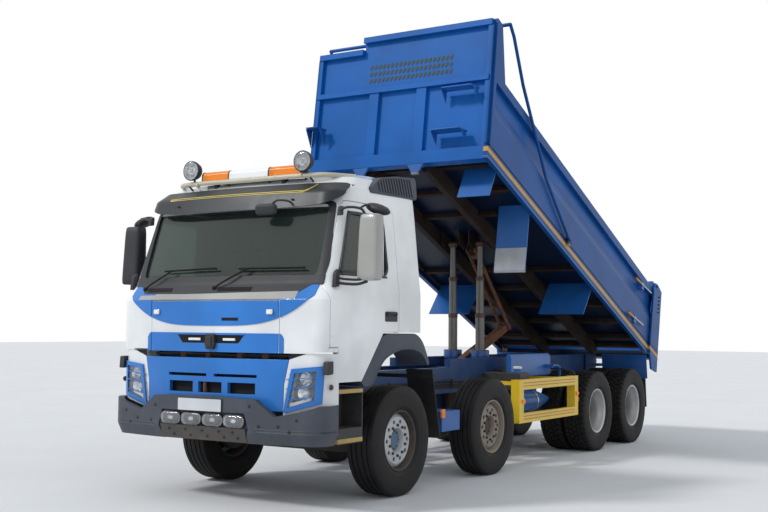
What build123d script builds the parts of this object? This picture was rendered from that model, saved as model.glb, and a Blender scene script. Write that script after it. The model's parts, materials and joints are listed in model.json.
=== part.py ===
"""Four-axle rigid tipper lorry, eight wheels, tipping body raised as it stands.

Millimetres. X is across the lorry, +X its left side. -Y is the way it drives. Z is up from
the ground. Shapes are drawn with the first axle at Y = 0 and moved by ORIGIN_Y at the end,
so that the part's origin is on the ground under the middle of its length.
"""
from build123d import *
from math import atan2, cos, degrees, hypot, radians, sin, sqrt, tan
import os

os.makedirs("parts", exist_ok=True)

# Overall places
ORIGIN_Y = 2985.3          # from the first axle back to the part's origin
CLEAR = 6.0                # gap between panels that move apart
PIN_CLEAR = 1.0            # gap round a pin or spindle

# Axles and wheels
AXLE_Y = {1: 0.0, 2: 1995.0, 3: 5100.0, 4: 6470.0}
TYRE_R = 538.0
TYRE_W = 315.0
TREAD_W = 268.0
BEAD_R = 286.0             # bore of the tyre
RIM_LIP_R = 298.0
RIM_W = 260.0              # over the flanges
FLANGE_T = 12.0
RIM_T = 12.0
STEER_WHEEL_X = 1038.0     # middle of a single front wheel
OUTER_WHEEL_X = 1062.0     # middle of the outer twin
TWIN_PITCH = 345.0
HUB_R = 112.0
SPINDLE_R = 45.0
KINGPIN_X = 800.0
KINGPIN_BOSS_R = 62.0

# Chassis frame
FRAME_TOP = 1170.0
FRAME_H = 300.0
FRAME_HALF = 425.0         # outer face of a rail
FLANGE_W = 80.0
FRAME_T = 10.0
FRAME_FRONT = -1330.0
FRAME_REAR = 6760.0
SUBFRAME_H = 100.0
SUBFRAME_FRONT = 2350.0
SPRING_X = 478.0
SPRING_W = 76.0

# Tipping body, drawn lowered
TIP_REST = 23.1            # degrees raised as it stands
HINGE_Y = 6846.0
HINGE_Z = 1157.0
HINGE_PIN_R = 35.0
BODY_HALF = 1245.0
BODY_REAR = 6940.0
RAIL_BOTTOM = 1334.0
BOTTOM_RAIL_H = 150.0
SIDE_TOP = 2347.0
TOP_RAIL_H = 108.0
BULK_FOOT_Y = 1215.0
BULK_TOP = 2945.0
BULK_LEAN = 15.45          # degrees forward of upright
BULK_T = 60.0
FLOOR_Z = 1450.0
FLOOR_T = 40.0
RUNNER_X = 400.0
RUNNER_W = 80.0
RUNNER_BOTTOM = 1277.0
WING_X = (770.0, 1184.0)
WIDE_WING_X = (535.0, 1184.0)

# Tailgate, drawn closed
GATE_OPEN_REST = 10.0      # degrees open of the body as it hangs
GATE_PIVOT_Y = 6861.0
GATE_PIVOT_Z = 2412.0
GATE_T = 60.0
GATE_BOTTOM = 1312.0
CHEEK_X = (1253.0, 1281.0)

# Rams and stabiliser
RAM_X = 200.0
RAM_Y = 3550.0
TRUNNION_Z = 600.0
RAM_STAND = 2140.0         # trunnion to top eye as it stands
BARREL_REACH = 760.0       # trunnion to top of the collar
RAM_EAR_X = (78.0, 322.0)  # inner faces of the body's brackets beside each ram's eye
STAB_FOOT_Y = 3350.0
STAB_FOOT_Z = 1190.0
STAB_ARM = 1420.0
STAB_BEAM_X = 46.0         # half width of the lower arm
STAB_LEG_X = (52.0, 72.0)  # legs of the upper arm
STAB_EAR_X = 52.0

# Cab
CAB_HALF = 1245.0
CAB_FRONT = -1475.0
CAB_REAR = 240.0
CAB_BOTTOM = 1413.0
CAB_WALL = 60.0
CAB_FLOOR_TOP = 1470.0
DOOR_BOTTOM = 1143.0
DOOR_FRONT = -1303.0
DOOR_REAR = -172.0
DOOR_BELT = 1592.0

BUMPER_FRONT = -1590.0

NODES = {}


def keep(name, *shapes):
    """Add solids to a node."""
    flat = []
    for shape in shapes:
        flat.extend(shape.solids())
    NODES.setdefault(name, []).extend(flat)


def block(x, y, z):
    """Box between three (low, high) pairs."""
    size = [high - low for low, high in (x, y, z)]
    middle = [(high + low) / 2 for low, high in (x, y, z)]
    return Pos(*middle) * Box(*size)


def prism_x(outline, x):
    """Outline of (y, z) points carried across the lorry between two X values."""
    face = make_face(Polyline(*outline, close=True))
    return extrude(Plane.YZ.offset(x[0]) * face, x[1] - x[0])


def prism_y(outline, y):
    """Outline of (x, z) points carried along the lorry between two Y values."""
    face = make_face(Polyline(*outline, close=True))
    return extrude(Plane.XZ.offset(-y[0]) * face, y[0] - y[1])


def prism_z(outline, z):
    """Outline of (x, y) points carried upwards between two Z values."""
    face = make_face(Polyline(*outline, close=True))
    return extrude(Plane.XY.offset(z[0]) * face, z[1] - z[0])


def rod_x(radius, x, y, z):
    return Pos((x[0] + x[1]) / 2, y, z) * Rot(0, 90, 0) * Cylinder(radius, x[1] - x[0])


def rod_y(radius, x, y, z):
    return Pos(x, (y[0] + y[1]) / 2, z) * Rot(90, 0, 0) * Cylinder(radius, y[1] - y[0])


def rod_z(radius, x, y, z):
    return Pos(x, y, (z[0] + z[1]) / 2) * Cylinder(radius, z[1] - z[0])


def bar(start, end, radius):
    """Round bar between two points."""
    a, b = Vector(*start), Vector(*end)
    return Plane(origin=a, z_dir=b - a) * Pos(0, 0, (b - a).length / 2) * Cylinder(radius, (b - a).length)


def mirrored(shape):
    return mirror(shape, about=Plane.YZ)


def both(shape):
    return [shape, mirrored(shape)]


def turned(shape, y, z, angle):
    """Turn a shape about an axis across the lorry; positive lowers its front."""
    return Pos(0, y, z) * Rot(angle, 0, 0) * Pos(0, -y, -z) * shape


def tipped(shape):
    """Raise a shape of the tipping body from lowered to where it stands."""
    return turned(shape, HINGE_Y, HINGE_Z, -TIP_REST)


def tipped_point(y, z):
    c, s = cos(radians(TIP_REST)), sin(radians(TIP_REST))
    dy, dz = y - HINGE_Y, z - HINGE_Z
    return HINGE_Y + c * dy + s * dz, HINGE_Z - s * dy + c * dz


# Wheels

def turned_ring(profile):
    """Ring about the X axis from a closed profile of (x, r) points."""
    face = make_face(Polyline(*profile, close=True))
    return revolve(Plane.XY * face, Axis.X, 360)


def tyre(x):
    half, tread = TYRE_W / 2, TREAD_W / 2
    bead = RIM_W / 2 - FLANGE_T
    side = [(tread, TYRE_R), (half - 8, TYRE_R - 45), (half, TYRE_R - 120), (bead, BEAD_R + 14), (bead, BEAD_R)]
    profile = side + [(-a, r) for a, r in reversed(side)]
    return Pos(x, 0, 0) * turned_ring(profile)


def rim_profile(disc_x, disc_r, cone_x):
    """Half section of a rim: flanged barrel with a dished disc down to the hub."""
    half, flange = RIM_W / 2, RIM_W / 2 - FLANGE_T
    outer, inner = BEAD_R - 1, BEAD_R - 1 - RIM_T
    return [
        (half, RIM_LIP_R), (flange, RIM_LIP_R), (flange, outer), (-flange, outer), (-flange, RIM_LIP_R),
        (-half, RIM_LIP_R), (-half, inner), (cone_x, inner), (disc_x, disc_r), (disc_x, HUB_R),
        (disc_x + RIM_T, HUB_R), (disc_x + RIM_T, disc_r), (cone_x + RIM_T, inner), (half, inner)]


def hub(x, bore):
    """Hub drum with a bore for the spindle."""
    return rod_x(HUB_R, x, 0, 0) - rod_x(bore, (x[0] - 1, x[1] - 40), 0, 0)


def steer_rim():
    rim = Pos(STEER_WHEEL_X, 0, 0) * turned_ring(rim_profile(62, 205, 20))
    middle = hub((STEER_WHEEL_X - 20, STEER_WHEEL_X + 105), SPINDLE_R + PIN_CLEAR)
    return rim + middle


def twin_rim():
    disc = -TWIN_PITCH / 2
    outer = Pos(OUTER_WHEEL_X, 0, 0) * turned_ring(rim_profile(disc, 200, -110))
    inner_x = OUTER_WHEEL_X - TWIN_PITCH
    inner = Pos(inner_x, 0, 0) * Rot(0, 0, 180) * turned_ring(rim_profile(disc, 200, -110))
    middle = hub((inner_x + 60, OUTER_WHEEL_X + 40), SPINDLE_R + PIN_CLEAR)
    return outer + inner + middle


SIDES = {"left": lambda s: s, "right": mirrored}
for axle, axle_y in AXLE_Y.items():
    place = Pos(0, axle_y, TYRE_R)
    for side, on_side in SIDES.items():
        if axle < 3:
            keep(f"tyre_{axle}_{side}", on_side(place * tyre(STEER_WHEEL_X)))
            keep(f"rim_{axle}_{side}", on_side(place * steer_rim()))
        else:
            for x in (OUTER_WHEEL_X, OUTER_WHEEL_X - TWIN_PITCH):
                keep(f"tyres_{axle}_{side}", on_side(place * tyre(x)))
            keep(f"rims_{axle}_{side}", on_side(place * twin_rim()))

# Knuckles: yoke round the kingpin boss, brake drum and spindle
BOSS_H = 130.0
YOKE_GAP = 6.0
DRUM_R = 205.0
for axle in (1, 2):
    y, z = AXLE_Y[axle], TYRE_R
    arm_x = (KINGPIN_X - 60, KINGPIN_X + 92)
    yoke = block((KINGPIN_X + 74, KINGPIN_X + 92), (y - 70, y + 70), (z - 105, z + 105))
    for low in (z - BOSS_H / 2 - YOKE_GAP - 32, z + BOSS_H / 2 + YOKE_GAP):
        yoke += block(arm_x, (y - 60, y + 60), (low, low + 32))
    drum_x = (KINGPIN_X + 92, STEER_WHEEL_X - 20 - CLEAR)
    yoke += rod_x(DRUM_R, drum_x, y, z)
    yoke += rod_x(SPINDLE_R, (drum_x[0], STEER_WHEEL_X + 60), y, z)
    yoke += block((KINGPIN_X - 60, KINGPIN_X), (y + 60, y + 170), (z - 103, z - 75))
    for side, on_side in SIDES.items():
        keep(f"knuckle_{axle}_{side}", on_side(yoke))

# Steer axle beams, drop-forged, with bosses for the kingpins
BEAM_H = 100.0
for axle in (1, 2):
    y, z = AXLE_Y[axle], TYRE_R
    half = [(0, z - 150), (520, z - 150), (KINGPIN_X - 70, z - 50), (KINGPIN_X, z - 50),
            (KINGPIN_X, z + 50), (KINGPIN_X - 90, z + 50), (500, z - 50), (0, z - 50)]
    beam = prism_y(half, (y - 45, y + 45))
    beam += rod_z(KINGPIN_BOSS_R, KINGPIN_X, y, (z - BOSS_H / 2, z + BOSS_H / 2))
    beam = beam + mirrored(beam)
    for x in (-SPRING_X, SPRING_X):
        beam += block((x - SPRING_W / 2, x + SPRING_W / 2), (y - 90, y + 90), (z - 62, z - 20))
    keep("axles", beam)

# Drive axles: housing with the differential bowl, ending inside the hubs
for axle in (3, 4):
    y, z = AXLE_Y[axle], TYRE_R
    housing = rod_x(82, (-520, 520), y, z)
    housing += rod_x(SPINDLE_R, (-OUTER_WHEEL_X + 20, OUTER_WHEEL_X - 20), y, z)
    housing += Pos(0, y, z) * Rot(0, 90, 0) * Cylinder(230, 190)
    housing += rod_y(120, 0, (y - 330, y), z)
    for x in (-SPRING_X, SPRING_X):
        housing += block((x - SPRING_W / 2, x + SPRING_W / 2), (y - 70, y + 70), (z + 60, z + 104))
    keep("axles", housing)

# Leaf springs, bowed packs between hanger brackets under the rails
def spring(y, seat_z, half_length, rise, thick, x):
    """Bowed pack with an arched upper and lower face."""
    end_z = seat_z + rise
    lower = ThreePointArc((y - half_length, end_z), (y, seat_z), (y + half_length, end_z))
    upper = ThreePointArc((y + half_length, end_z + 40), (y, seat_z + thick), (y - half_length, end_z + 40))
    edge = [lower, Line(lower @ 1, upper @ 0), upper, Line(upper @ 1, lower @ 0)]
    face = make_face(Wire(edge))
    return extrude(Plane.YZ.offset(x - SPRING_W / 2 + 3) * face, SPRING_W - 6)


FRAME_BOTTOM = FRAME_TOP - FRAME_H
STEER_SEAT = TYRE_R - 20
for axle in (1, 2):
    for x in (-SPRING_X, SPRING_X):
        keep("leaf_springs", spring(AXLE_Y[axle], STEER_SEAT, 800, 190, 90, x))
BOGIE_MID = (AXLE_Y[3] + AXLE_Y[4]) / 2
for x in (-SPRING_X, SPRING_X):
    keep("leaf_springs", spring(BOGIE_MID, TYRE_R + 250, 660, -146, 120, x))

# Chassis frame: two channel rails, crossmembers, spring hangers, subframe and hinge brackets
def rail(x_out, facing, y, z):
    """Channel rail with its web at x_out and its flanges towards the middle."""
    inner = x_out - facing * FLANGE_W
    outline = [(x_out, z[0]), (x_out, z[1]), (inner, z[1]), (inner, z[1] - FRAME_T),
               (x_out - facing * FRAME_T, z[1] - FRAME_T), (x_out - facing * FRAME_T, z[0] + FRAME_T),
               (inner, z[0] + FRAME_T), (inner, z[0])]
    return prism_y(outline, y)


frame = rail(FRAME_HALF, 1, (FRAME_FRONT, FRAME_REAR), (FRAME_BOTTOM, FRAME_TOP))
frame += mirrored(frame)
web_in = FRAME_HALF - FRAME_T
CROSS_Y = [(-1330, 60), (1260, 60), (2450, 70), (4350, 80), (4900, 70), (5785, 90), (6680, 80)]
for y, length in CROSS_Y:
    frame += block((-web_in, web_in), (y, y + length), (FRAME_BOTTOM + 60, FRAME_TOP - 40))
subframe = block((FRAME_HALF - FLANGE_W, FRAME_HALF), (SUBFRAME_FRONT, FRAME_REAR),
                 (FRAME_TOP, FRAME_TOP + SUBFRAME_H))
frame += subframe + mirrored(subframe)

# Hangers that take the spring ends: (y, spring end z)
HANGERS = [(-790, 748), (790, 748), (1205, 748), (2785, 748)]
for y, z in HANGERS:
    hanger = block((FRAME_HALF, SPRING_X + SPRING_W / 2), (y - 45, y + 45), (z, FRAME_BOTTOM + 90))
    frame += hanger + mirrored(hanger)
bogie_post = block((FRAME_HALF, SPRING_X + SPRING_W / 2), (BOGIE_MID - 110, BOGIE_MID + 110),
                   (TYRE_R + 370, FRAME_BOTTOM + 170))
frame += bogie_post + mirrored(bogie_post)

# Rear hinge brackets, two plates each side of the body's lug, with the pin through them
LUG_HALF = RUNNER_W / 2
HINGE_PLATE_X = RUNNER_X + LUG_HALF + CLEAR + 24
for low in (RUNNER_X - LUG_HALF - CLEAR - 24, RUNNER_X + LUG_HALF + CLEAR):
    plate = prism_x([(FRAME_REAR - 260, FRAME_BOTTOM + 120), (HINGE_Y + 40, HINGE_Z - 90),
                     (HINGE_Y + 70, HINGE_Z), (HINGE_Y + 40, HINGE_Z + 70), (FRAME_REAR - 60, FRAME_TOP + 95),
                     (FRAME_REAR - 260, FRAME_TOP + 95)], (low, low + 24))
    frame += plate + mirrored(plate)
hinge_pin = rod_x(HINGE_PIN_R, (RUNNER_X - LUG_HALF - 30, RUNNER_X + LUG_HALF + 30), HINGE_Y, HINGE_Z)
frame += hinge_pin + mirrored(hinge_pin)

# Ram cradle: a deep pair of plates and a trunnion beam between the rails
for y in (RAM_Y - 330, RAM_Y + 290):
    frame += block((-web_in, web_in), (y, y + 40), (FRAME_BOTTOM + 20, FRAME_TOP - 20))
for x in (-340, 340):
    frame += block((x - 15, x + 15), (RAM_Y - 330, RAM_Y + 330), (TRUNNION_Z - 70, FRAME_TOP - 20))
    inner = x - 15 if x > 0 else x + 15
    pin_x = (inner - 18, inner) if x > 0 else (inner, inner + 18)
    frame += rod_x(30, pin_x, RAM_Y, TRUNNION_Z)
keep("chassis_frame", frame)

# Stabiliser foot: a bracket bolted on the cradle's front plate
foot_y = RAM_Y - 330 + 40
foot_bracket = block((-STAB_EAR_X - 14, STAB_EAR_X + 14), (foot_y, STAB_FOOT_Y - 60), (FRAME_TOP - 160, FRAME_TOP + 60))
for low in (-STAB_EAR_X - 14, STAB_EAR_X):
    foot_bracket += prism_x([(STAB_FOOT_Y - 60, FRAME_TOP - 100), (STAB_FOOT_Y + 35, STAB_FOOT_Z - 30),
                             (STAB_FOOT_Y + 35, STAB_FOOT_Z + 30), (STAB_FOOT_Y - 60, FRAME_TOP + 40)], (low, low + 14))
foot_bracket += rod_x(20, (-STAB_EAR_X - 4, STAB_EAR_X + 4), STAB_FOOT_Y, STAB_FOOT_Z)
keep("chassis_frame", foot_bracket)

# Engine and gearbox under the cab, one plain block each, joined
engine = block((-330, 330), (-980, 330), (FRAME_BOTTOM - 330, 1290))
engine += block((-230, 230), (330, 1180), (FRAME_BOTTOM - 250, FRAME_TOP - 60))
for y in (-420, 120):
    engine += block((-web_in, web_in), (y, y + 90), (FRAME_BOTTOM + 60, FRAME_BOTTOM + 130))
keep("engine_block", engine)

# Cab: plan sections of a bowed front, round corners and straight sides
CAB_SECTIONS = [
    # z, front y at the middle, half width, corner radius, sweep back of the front
    (CAB_BOTTOM - 300, CAB_FRONT, CAB_HALF, 150, 80),
    (1875, CAB_FRONT, CAB_HALF, 150, 80),
    (1960, -1412, CAB_HALF, 155, 82),
    (2030, -1360, 1236, 160, 85),
    (2740, -1144, 1163, 170, 85),
    (2930, -1056, 1138, 190, 80),
    (3040, -905, 1090, 230, 60),
    (3095, -660, 1000, 300, 40),
]


def cab_plan(front, half, corner, sweep, rear):
    """Closed plan outline of the cab at one height."""
    xa, ya = half - corner, front + sweep
    k = corner * (1 - sqrt(0.5))
    bow = ThreePointArc((-xa, ya), (0, front), (xa, ya))
    right = ThreePointArc((xa, ya), (half - k, ya + k), (half, ya + corner))
    side = Line((half, ya + corner), (half, rear))
    back = Line((half, rear), (-half, rear))
    other = Line((-half, rear), (-half, ya + corner))
    left = ThreePointArc((-half, ya + corner), (-half + k, ya + k), (-xa, ya))
    return make_face(Wire([bow, right, side, back, other, left]))


def cab_form(inset, z_low=None, z_high=None):
    """The cab's outer form, shrunk by an inset on every wall, between two heights."""
    faces = []
    for z, front, half, corner, sweep in CAB_SECTIONS:
        top = z - inset if z > 3000 else z
        plan = cab_plan(front + inset, half - inset, corner - inset * 0.5, sweep, CAB_REAR - inset)
        faces.append(Plane.XY.offset(top) * plan)
    form = loft(faces, ruled=True)
    if z_low is not None:
        form = form & block((-1400, 1400), (-1700, 400), (z_low, z_high))
    return form


CAB_UNDER = [(-1700, CAB_BOTTOM), (-1195, CAB_BOTTOM), (-1195, DOOR_BOTTOM), (-812, DOOR_BOTTOM),
             (-441, 1586), (400, 1586), (400, 1000), (-1700, 1000)]
cab_outer = cab_form(0) - prism_x(CAB_UNDER, (-1400, 1400))
cab_hollow = cab_form(CAB_WALL, CAB_FLOOR_TOP, 3200)
under_hollow = cab_form(CAB_WALL, 900, CAB_FLOOR_TOP - 60)
shell = cab_outer - cab_hollow - under_hollow

SCREEN = [(-1073, 2040), (1073, 2040), (1067, 2735), (-1067, 2735)]
screen_prism = prism_y(SCREEN, (-1700, -850))
DOOR = [(DOOR_FRONT, 1455), (DOOR_FRONT, 1955), (-1000, 2748), (-960, 2790), (-250, 2790),
        (DOOR_REAR, 2730), (DOOR_REAR, DOOR_BELT), (-440, DOOR_BELT), (-815, DOOR_BOTTOM),
        (-1189, DOOR_BOTTOM), (-1189, 1455)]
DOOR_LEVELS = (DOOR_BOTTOM, 1455.0, DOOR_BELT, 2800.0)   # skirt, lower panel and upper frame are separate pressings
DOOR_X = (1100.0, 1400.0)
door_prism = prism_x(DOOR, DOOR_X)
gap_outline = offset(make_face(Polyline(*DOOR, close=True)), CLEAR, kind=Kind.INTERSECTION)
door_gap = extrude(Plane.YZ.offset(DOOR_X[0] - CLEAR) * gap_outline, 400)
WINDOW = [(-1160, 2120), (-950, 2700), (-420, 2705), (-345, 2640), (-330, 2180), (-380, 2120)]
window_prism = prism_x(WINDOW, DOOR_X)
door_body = (cab_outer - cab_form(CAB_WALL)) & door_prism
door = door_body - window_prism

HATCH_HALF = 770.0
HATCH_TOP = 1868.0
front_panel_outline = [(-HATCH_HALF, CAB_BOTTOM), (HATCH_HALF, CAB_BOTTOM), (HATCH_HALF, HATCH_TOP),
                       (-HATCH_HALF, HATCH_TOP)]
panel_prism = prism_y(front_panel_outline, (-1700, -1330))
panel_gap_face = offset(make_face(Polyline(*front_panel_outline, close=True)), CLEAR, kind=Kind.INTERSECTION)
panel_gap = extrude(Plane.XZ.offset(1700) * panel_gap_face, -370)
PANEL_T = 26.0
skin = cab_form(0) - cab_form(PANEL_T)
front_panel = skin & panel_prism
shell = shell - door_gap - mirrored(door_gap) - screen_prism - (panel_gap & (cab_form(-20) - cab_form(PANEL_T + CLEAR)))
roof_cut = block((-1400, 1400), (-1700, 400), (2932, 3200))
keep("cab_shell", shell - roof_cut)
keep("cab_roof", shell & roof_cut)
keep("front_hatch", front_panel)
for side, on_side in SIDES.items():
    for low, high in zip(DOOR_LEVELS, DOOR_LEVELS[1:]):
        keep(f"door_{side}", on_side(door & block((1000, 1400), (-1700, 400), (low, high))))
glass_skin = cab_form(14) - cab_form(24)
keep("windscreen", glass_skin & screen_prism)
door_glass = glass_skin & window_prism
for side, on_side in SIDES.items():
    keep(f"door_glass_{side}", on_side(door_glass))

# Sun visor, a curved plate hung in front of the top of the screen
visor_band = prism_z([(-1150, -1500), (1150, -1500), (1150, -950), (-1150, -950)], (2700, 2890))
visor = (Pos(0, -72, 0) * cab_form(0)) - (Pos(0, -46, 0) * cab_form(0))
visor = visor & visor_band
for x in (-700, 0, 700):
    visor += block((x - 20, x + 20), (-1290, -1060), (2800, 2816)) - cab_form(0)
keep("sun_visor", visor)

# Light bar and round lamps on the roof rail
LAMP_X = 692.0
LAMP_Z = 3195.0
RAIL_Z = 3035.0
bar_y = -1000.0
beam = block((-640, 640), (bar_y - 60, bar_y + 60), (3090, 3210))
for x in (-420, 420):
    beam += block((x - 20, x + 20), (bar_y - 20, bar_y + 20), (2990, 3090))
for x in (-LAMP_X, LAMP_X):
    beam += rod_y(85, x, (bar_y - 70, bar_y + 40), LAMP_Z)
    beam += block((min(x, x * 0.9), max(x, x * 0.9)), (bar_y - 15, bar_y + 15), (3120, 3150))
keep("light_bar", beam - cab_form(0))

# Cab inside: seats, dashboard and steering wheel, right-hand drive
def seat(x):
    base = block((x - 200, x + 200), (-700, -300), (CAB_FLOOR_TOP, CAB_FLOOR_TOP + 240))
    cushion = block((x - 245, x + 245), (-800, -260), (CAB_FLOOR_TOP + 240, CAB_FLOOR_TOP + 370))
    back = turned(block((x - 235, x + 235), (-290, -170), (CAB_FLOOR_TOP + 300, CAB_FLOOR_TOP + 960)),
                  -230, CAB_FLOOR_TOP + 300, -10)
    head = turned(block((x - 130, x + 130), (-280, -190), (CAB_FLOOR_TOP + 960, CAB_FLOOR_TOP + 1160)),
                  -230, CAB_FLOOR_TOP + 300, -10)
    return base + cushion + back + head


for x in (-640, 640):
    keep("seats", seat(x))
dash = cab_hollow & block((-1400, 1400), (-1500, -1050), (1700, 1985))
dash = dash - door_gap - mirrored(door_gap)
wheel_centre = (-640, -905, 1985)
column = bar((-640, -1100, 1880), (-640, -915, 1978), 28)
ring = Plane(origin=wheel_centre, z_dir=(0, 0.5, 0.95)) * Torus(215, 15)
spokes = Plane(origin=wheel_centre, z_dir=(0, 0.5, 0.95)) * (Box(410, 40, 12) + Cylinder(45, 26))
keep("dashboard", dash + column + ring + spokes)

# Main mirrors, on arms from the front edge of each door
MIRROR = ((1335, 1560), (-1110, -950), (2045, 2655))
mirror_body = block(*MIRROR)
mirror_body = fillet(mirror_body.edges().filter_by(Axis.Z), 45)
arm_low = bar((1215, -1235, 2075), (1400, -1040, 2075), 16)
arm_top = bar((1160, -1080, 2690), (1400, -1030, 2690), 14)
arm_top += bar((1400, -1030, 2640), (1400, -1030, 2700), 16)
wide = Pos(1460, -1010, 2730) * Rot(12, 0, 0) * Box(260, 120, 90)
for side, on_side in SIDES.items():
    mirror_set = (mirror_body + arm_low + arm_top + wide) - cab_form(0)
    keep(f"mirror_{side}", on_side(mirror_set))

# Bumper and the fixed front below the cab, all bands of the same bowed plan
def front_band(front, thick, z):
    """Bowed front with round corners, as thick as given, open at the back."""
    outer = cab_plan(front, 1262, 210, 95, -1000)
    inner = cab_plan(front + thick, 1262 - thick, 210 - thick, 95, -990)
    band = extrude(Plane.XY.offset(z[0]) * outer, z[1] - z[0])
    return band - extrude(Plane.XY.offset(z[0] - 1) * inner, z[1] - z[0] + 2)


FRONT_END = -1200.0
BUMPER_LINE = [(-1300, 590), (1300, 590), (1300, 950), (800, 838), (600, 985), (0, 1000),
               (-600, 985), (-800, 838), (-1300, 950)]
bumper = front_band(BUMPER_FRONT, 70, (590, 1000)) & prism_y(BUMPER_LINE, (-1700, FRONT_END))
bumper -= block((-400, 400), (-1700, -1552), (715, 850))
skid = prism_x([(-1562, 716), (-1532, 594), (-1180, 568), (-1180, 588), (-1512, 614), (-1538, 716)],
               (-525, 525))
for x in (-370, 370):
    bumper += block((x - 40, x + 40), (-1525, FRAME_FRONT), (FRAME_BOTTOM - 200, FRAME_BOTTOM + 100))
keep("bumper", bumper + skid)

grille = front_band(CAB_FRONT + 5, 50, (960, 1340))
GRILLE_LINE = [(-560, 1006), (560, 1006), (810, 1120), (858, 1340), (-858, 1340), (-810, 1120)]
grille = grille & prism_y(GRILLE_LINE, (-1600, -1380))
for z, height in ((1225, 26), (1170, 26)):
    grille -= block((-560, 560), (-1600, -1380), (z, z + height))
for x in (-370, 0, 370):
    grille -= block((x - 160, x + 160), (-1600, -1380), (1050, 1130))
for x in (-420, 420):
    grille += block((x - 30, x + 30), (-1430, FRAME_FRONT), (1020, 1160))
keep("lower_grille", grille)

corner = front_band(CAB_FRONT + 5, 50, (840, 1395))
corner = corner & prism_y([(866, 1340), (905, 1395), (1300, 1395), (1300, 958), (812, 846), (818, 1118)],
                          (-1700, FRONT_END))
LAMP_LINE = [(858, 905), (1165, 985), (1175, 1262), (925, 1232)]
lamp_prism = prism_y(LAMP_LINE, (-1700, -1100))
corner_open = corner - lamp_prism
stay = block((FRAME_HALF, 1225), (-1232, -1202), (1100, 1150))
for side, on_side in SIDES.items():
    keep("corner_panels", on_side(corner_open + stay))
lamp = (front_band(CAB_FRONT + 17, 60, (840, 1395)) & lamp_prism)
for side, on_side in SIDES.items():
    keep("headlamps", on_side(lamp))
for x in (-300, -100, 100, 300):
    keep("headlamps", block((x - 85, x + 85), (-1600, -1552), (728, 838)))

# Guards over the headlamps: a frame with bars
guard_band = front_band(CAB_FRONT - 18, 16, (840, 1395))
guard = guard_band & prism_y([(822, 868), (1180, 960), (1195, 1290), (900, 1260)], (-1700, -1100))
guard -= prism_y([(866, 918), (1128, 990), (1140, 1248), (930, 1222)], (-1700, -1100))
for z in (985, 1080, 1160):
    guard += guard_band & prism_y([(850, z), (1150, z + 30), (1150, z + 38), (850, z + 8)], (-1700, -1100))
for x, z in ((850, 900), (1160, 990), (1165, 1265), (920, 1245)):
    guard += block((x - 14, x + 14), (-1500, -1200), (z - 8, z + 14)) & front_band(CAB_FRONT - 10, 20, (840, 1395))
guard = guard - corner_open - lamp
for side, on_side in SIDES.items():
    keep("lamp_guards", on_side(guard))

# Boarding steps and the wheel arches of the first axle
steps = block((960, 1235), (-1172, -775), (592, 1085)) - block((1010, 1300), (-1160, -790), (730, 1040))
steps += block((FRAME_HALF, 960), (-1150, -1090), (880, 940))
for side, on_side in SIDES.items():
    keep("step_boxes", on_side(steps))

ARCH_OUT = [(-806, 1137), (-460, 1548), (-392, 1574), (190, 1574), (330, 1480), (440, 1290)]
ARCH_IN = [(385, 1262), (290, 1370), (160, 1420), (-180, 1415), (-420, 1330), (-640, 1095), (-790, 1095)]
arch = prism_x(ARCH_OUT + ARCH_IN, (905, 1252))
arch += block((FRAME_HALF, 930), (60, 110), (1100, 1160))
arch += block((905, 930), (60, 110), (1160, 1425))
for side, on_side in SIDES.items():
    keep("cab_arches", on_side(arch))

# Mudflaps behind the first axle
flap = prism_x([(598, 1212), (770, 500), (782, 500), (610, 1212)], (865, 1178))
flap += block((FRAME_HALF, 1178), (608, 650), (1120, 1160))
for side, on_side in SIDES.items():
    keep("chassis_wings", on_side(flap))

# Rear wings behind the last axle
rear_wing = prism_x([(6940, 1268), (6990, 860), (7005, 860), (6955, 1268)], (540, 1200))
rear_wing += prism_x([(6994, 870), (7040, 485), (7052, 485), (7005, 870)], (600, 1190))
rear_wing += block((HINGE_PLATE_X, 580), (6720, 6975), (1085, 1125))
for side, on_side in SIDES.items():
    keep("chassis_wings", on_side(rear_wing))

# Side guards between the second and third axles
GUARD_X = (1055, 1165)
side_guard = block(GUARD_X, (2700, 2820), (520, 1032))
side_guard += block(GUARD_X, (4380, 4490), (520, 1032))
side_guard += block((1105, 1165), (2820, 4380), (912, 1032))
side_guard += block((1105, 1165), (2820, 4380), (520, 632))
for y in (2735, 4410):
    side_guard += block((FRAME_HALF, 1055), (y, y + 50), (965, 1010))
for side, on_side in SIDES.items():
    keep("side_guards", on_side(side_guard))

# Tanks and boxes on the rails
tank = rod_y(210, 680, (3020, 4200), 830) + block((FRAME_HALF, 500), (3150, 3230), (760, 900))
tank += block((FRAME_HALF, 500), (3950, 4030), (760, 900))
keep("chassis_tanks", tank)
fuel = block((470, 1030), (3000, 4250), (600, 1120))
fuel = fillet(fuel.edges().filter_by(Axis.Y), 90) + block((FRAME_HALF, 470), (3200, 4000), (900, 1000))
keep("chassis_tanks", mirrored(fuel))
box = block((520, 1000), (850, 1300), (760, 1190)) + block((FRAME_HALF, 520), (930, 990), (960, 1020))
keep("chassis_tanks", box, mirrored(box))

# Tipping body, drawn lowered
def bulk_y(z):
    return BULK_FOOT_Y - (z - RAIL_BOTTOM) * tan(radians(BULK_LEAN))


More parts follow.
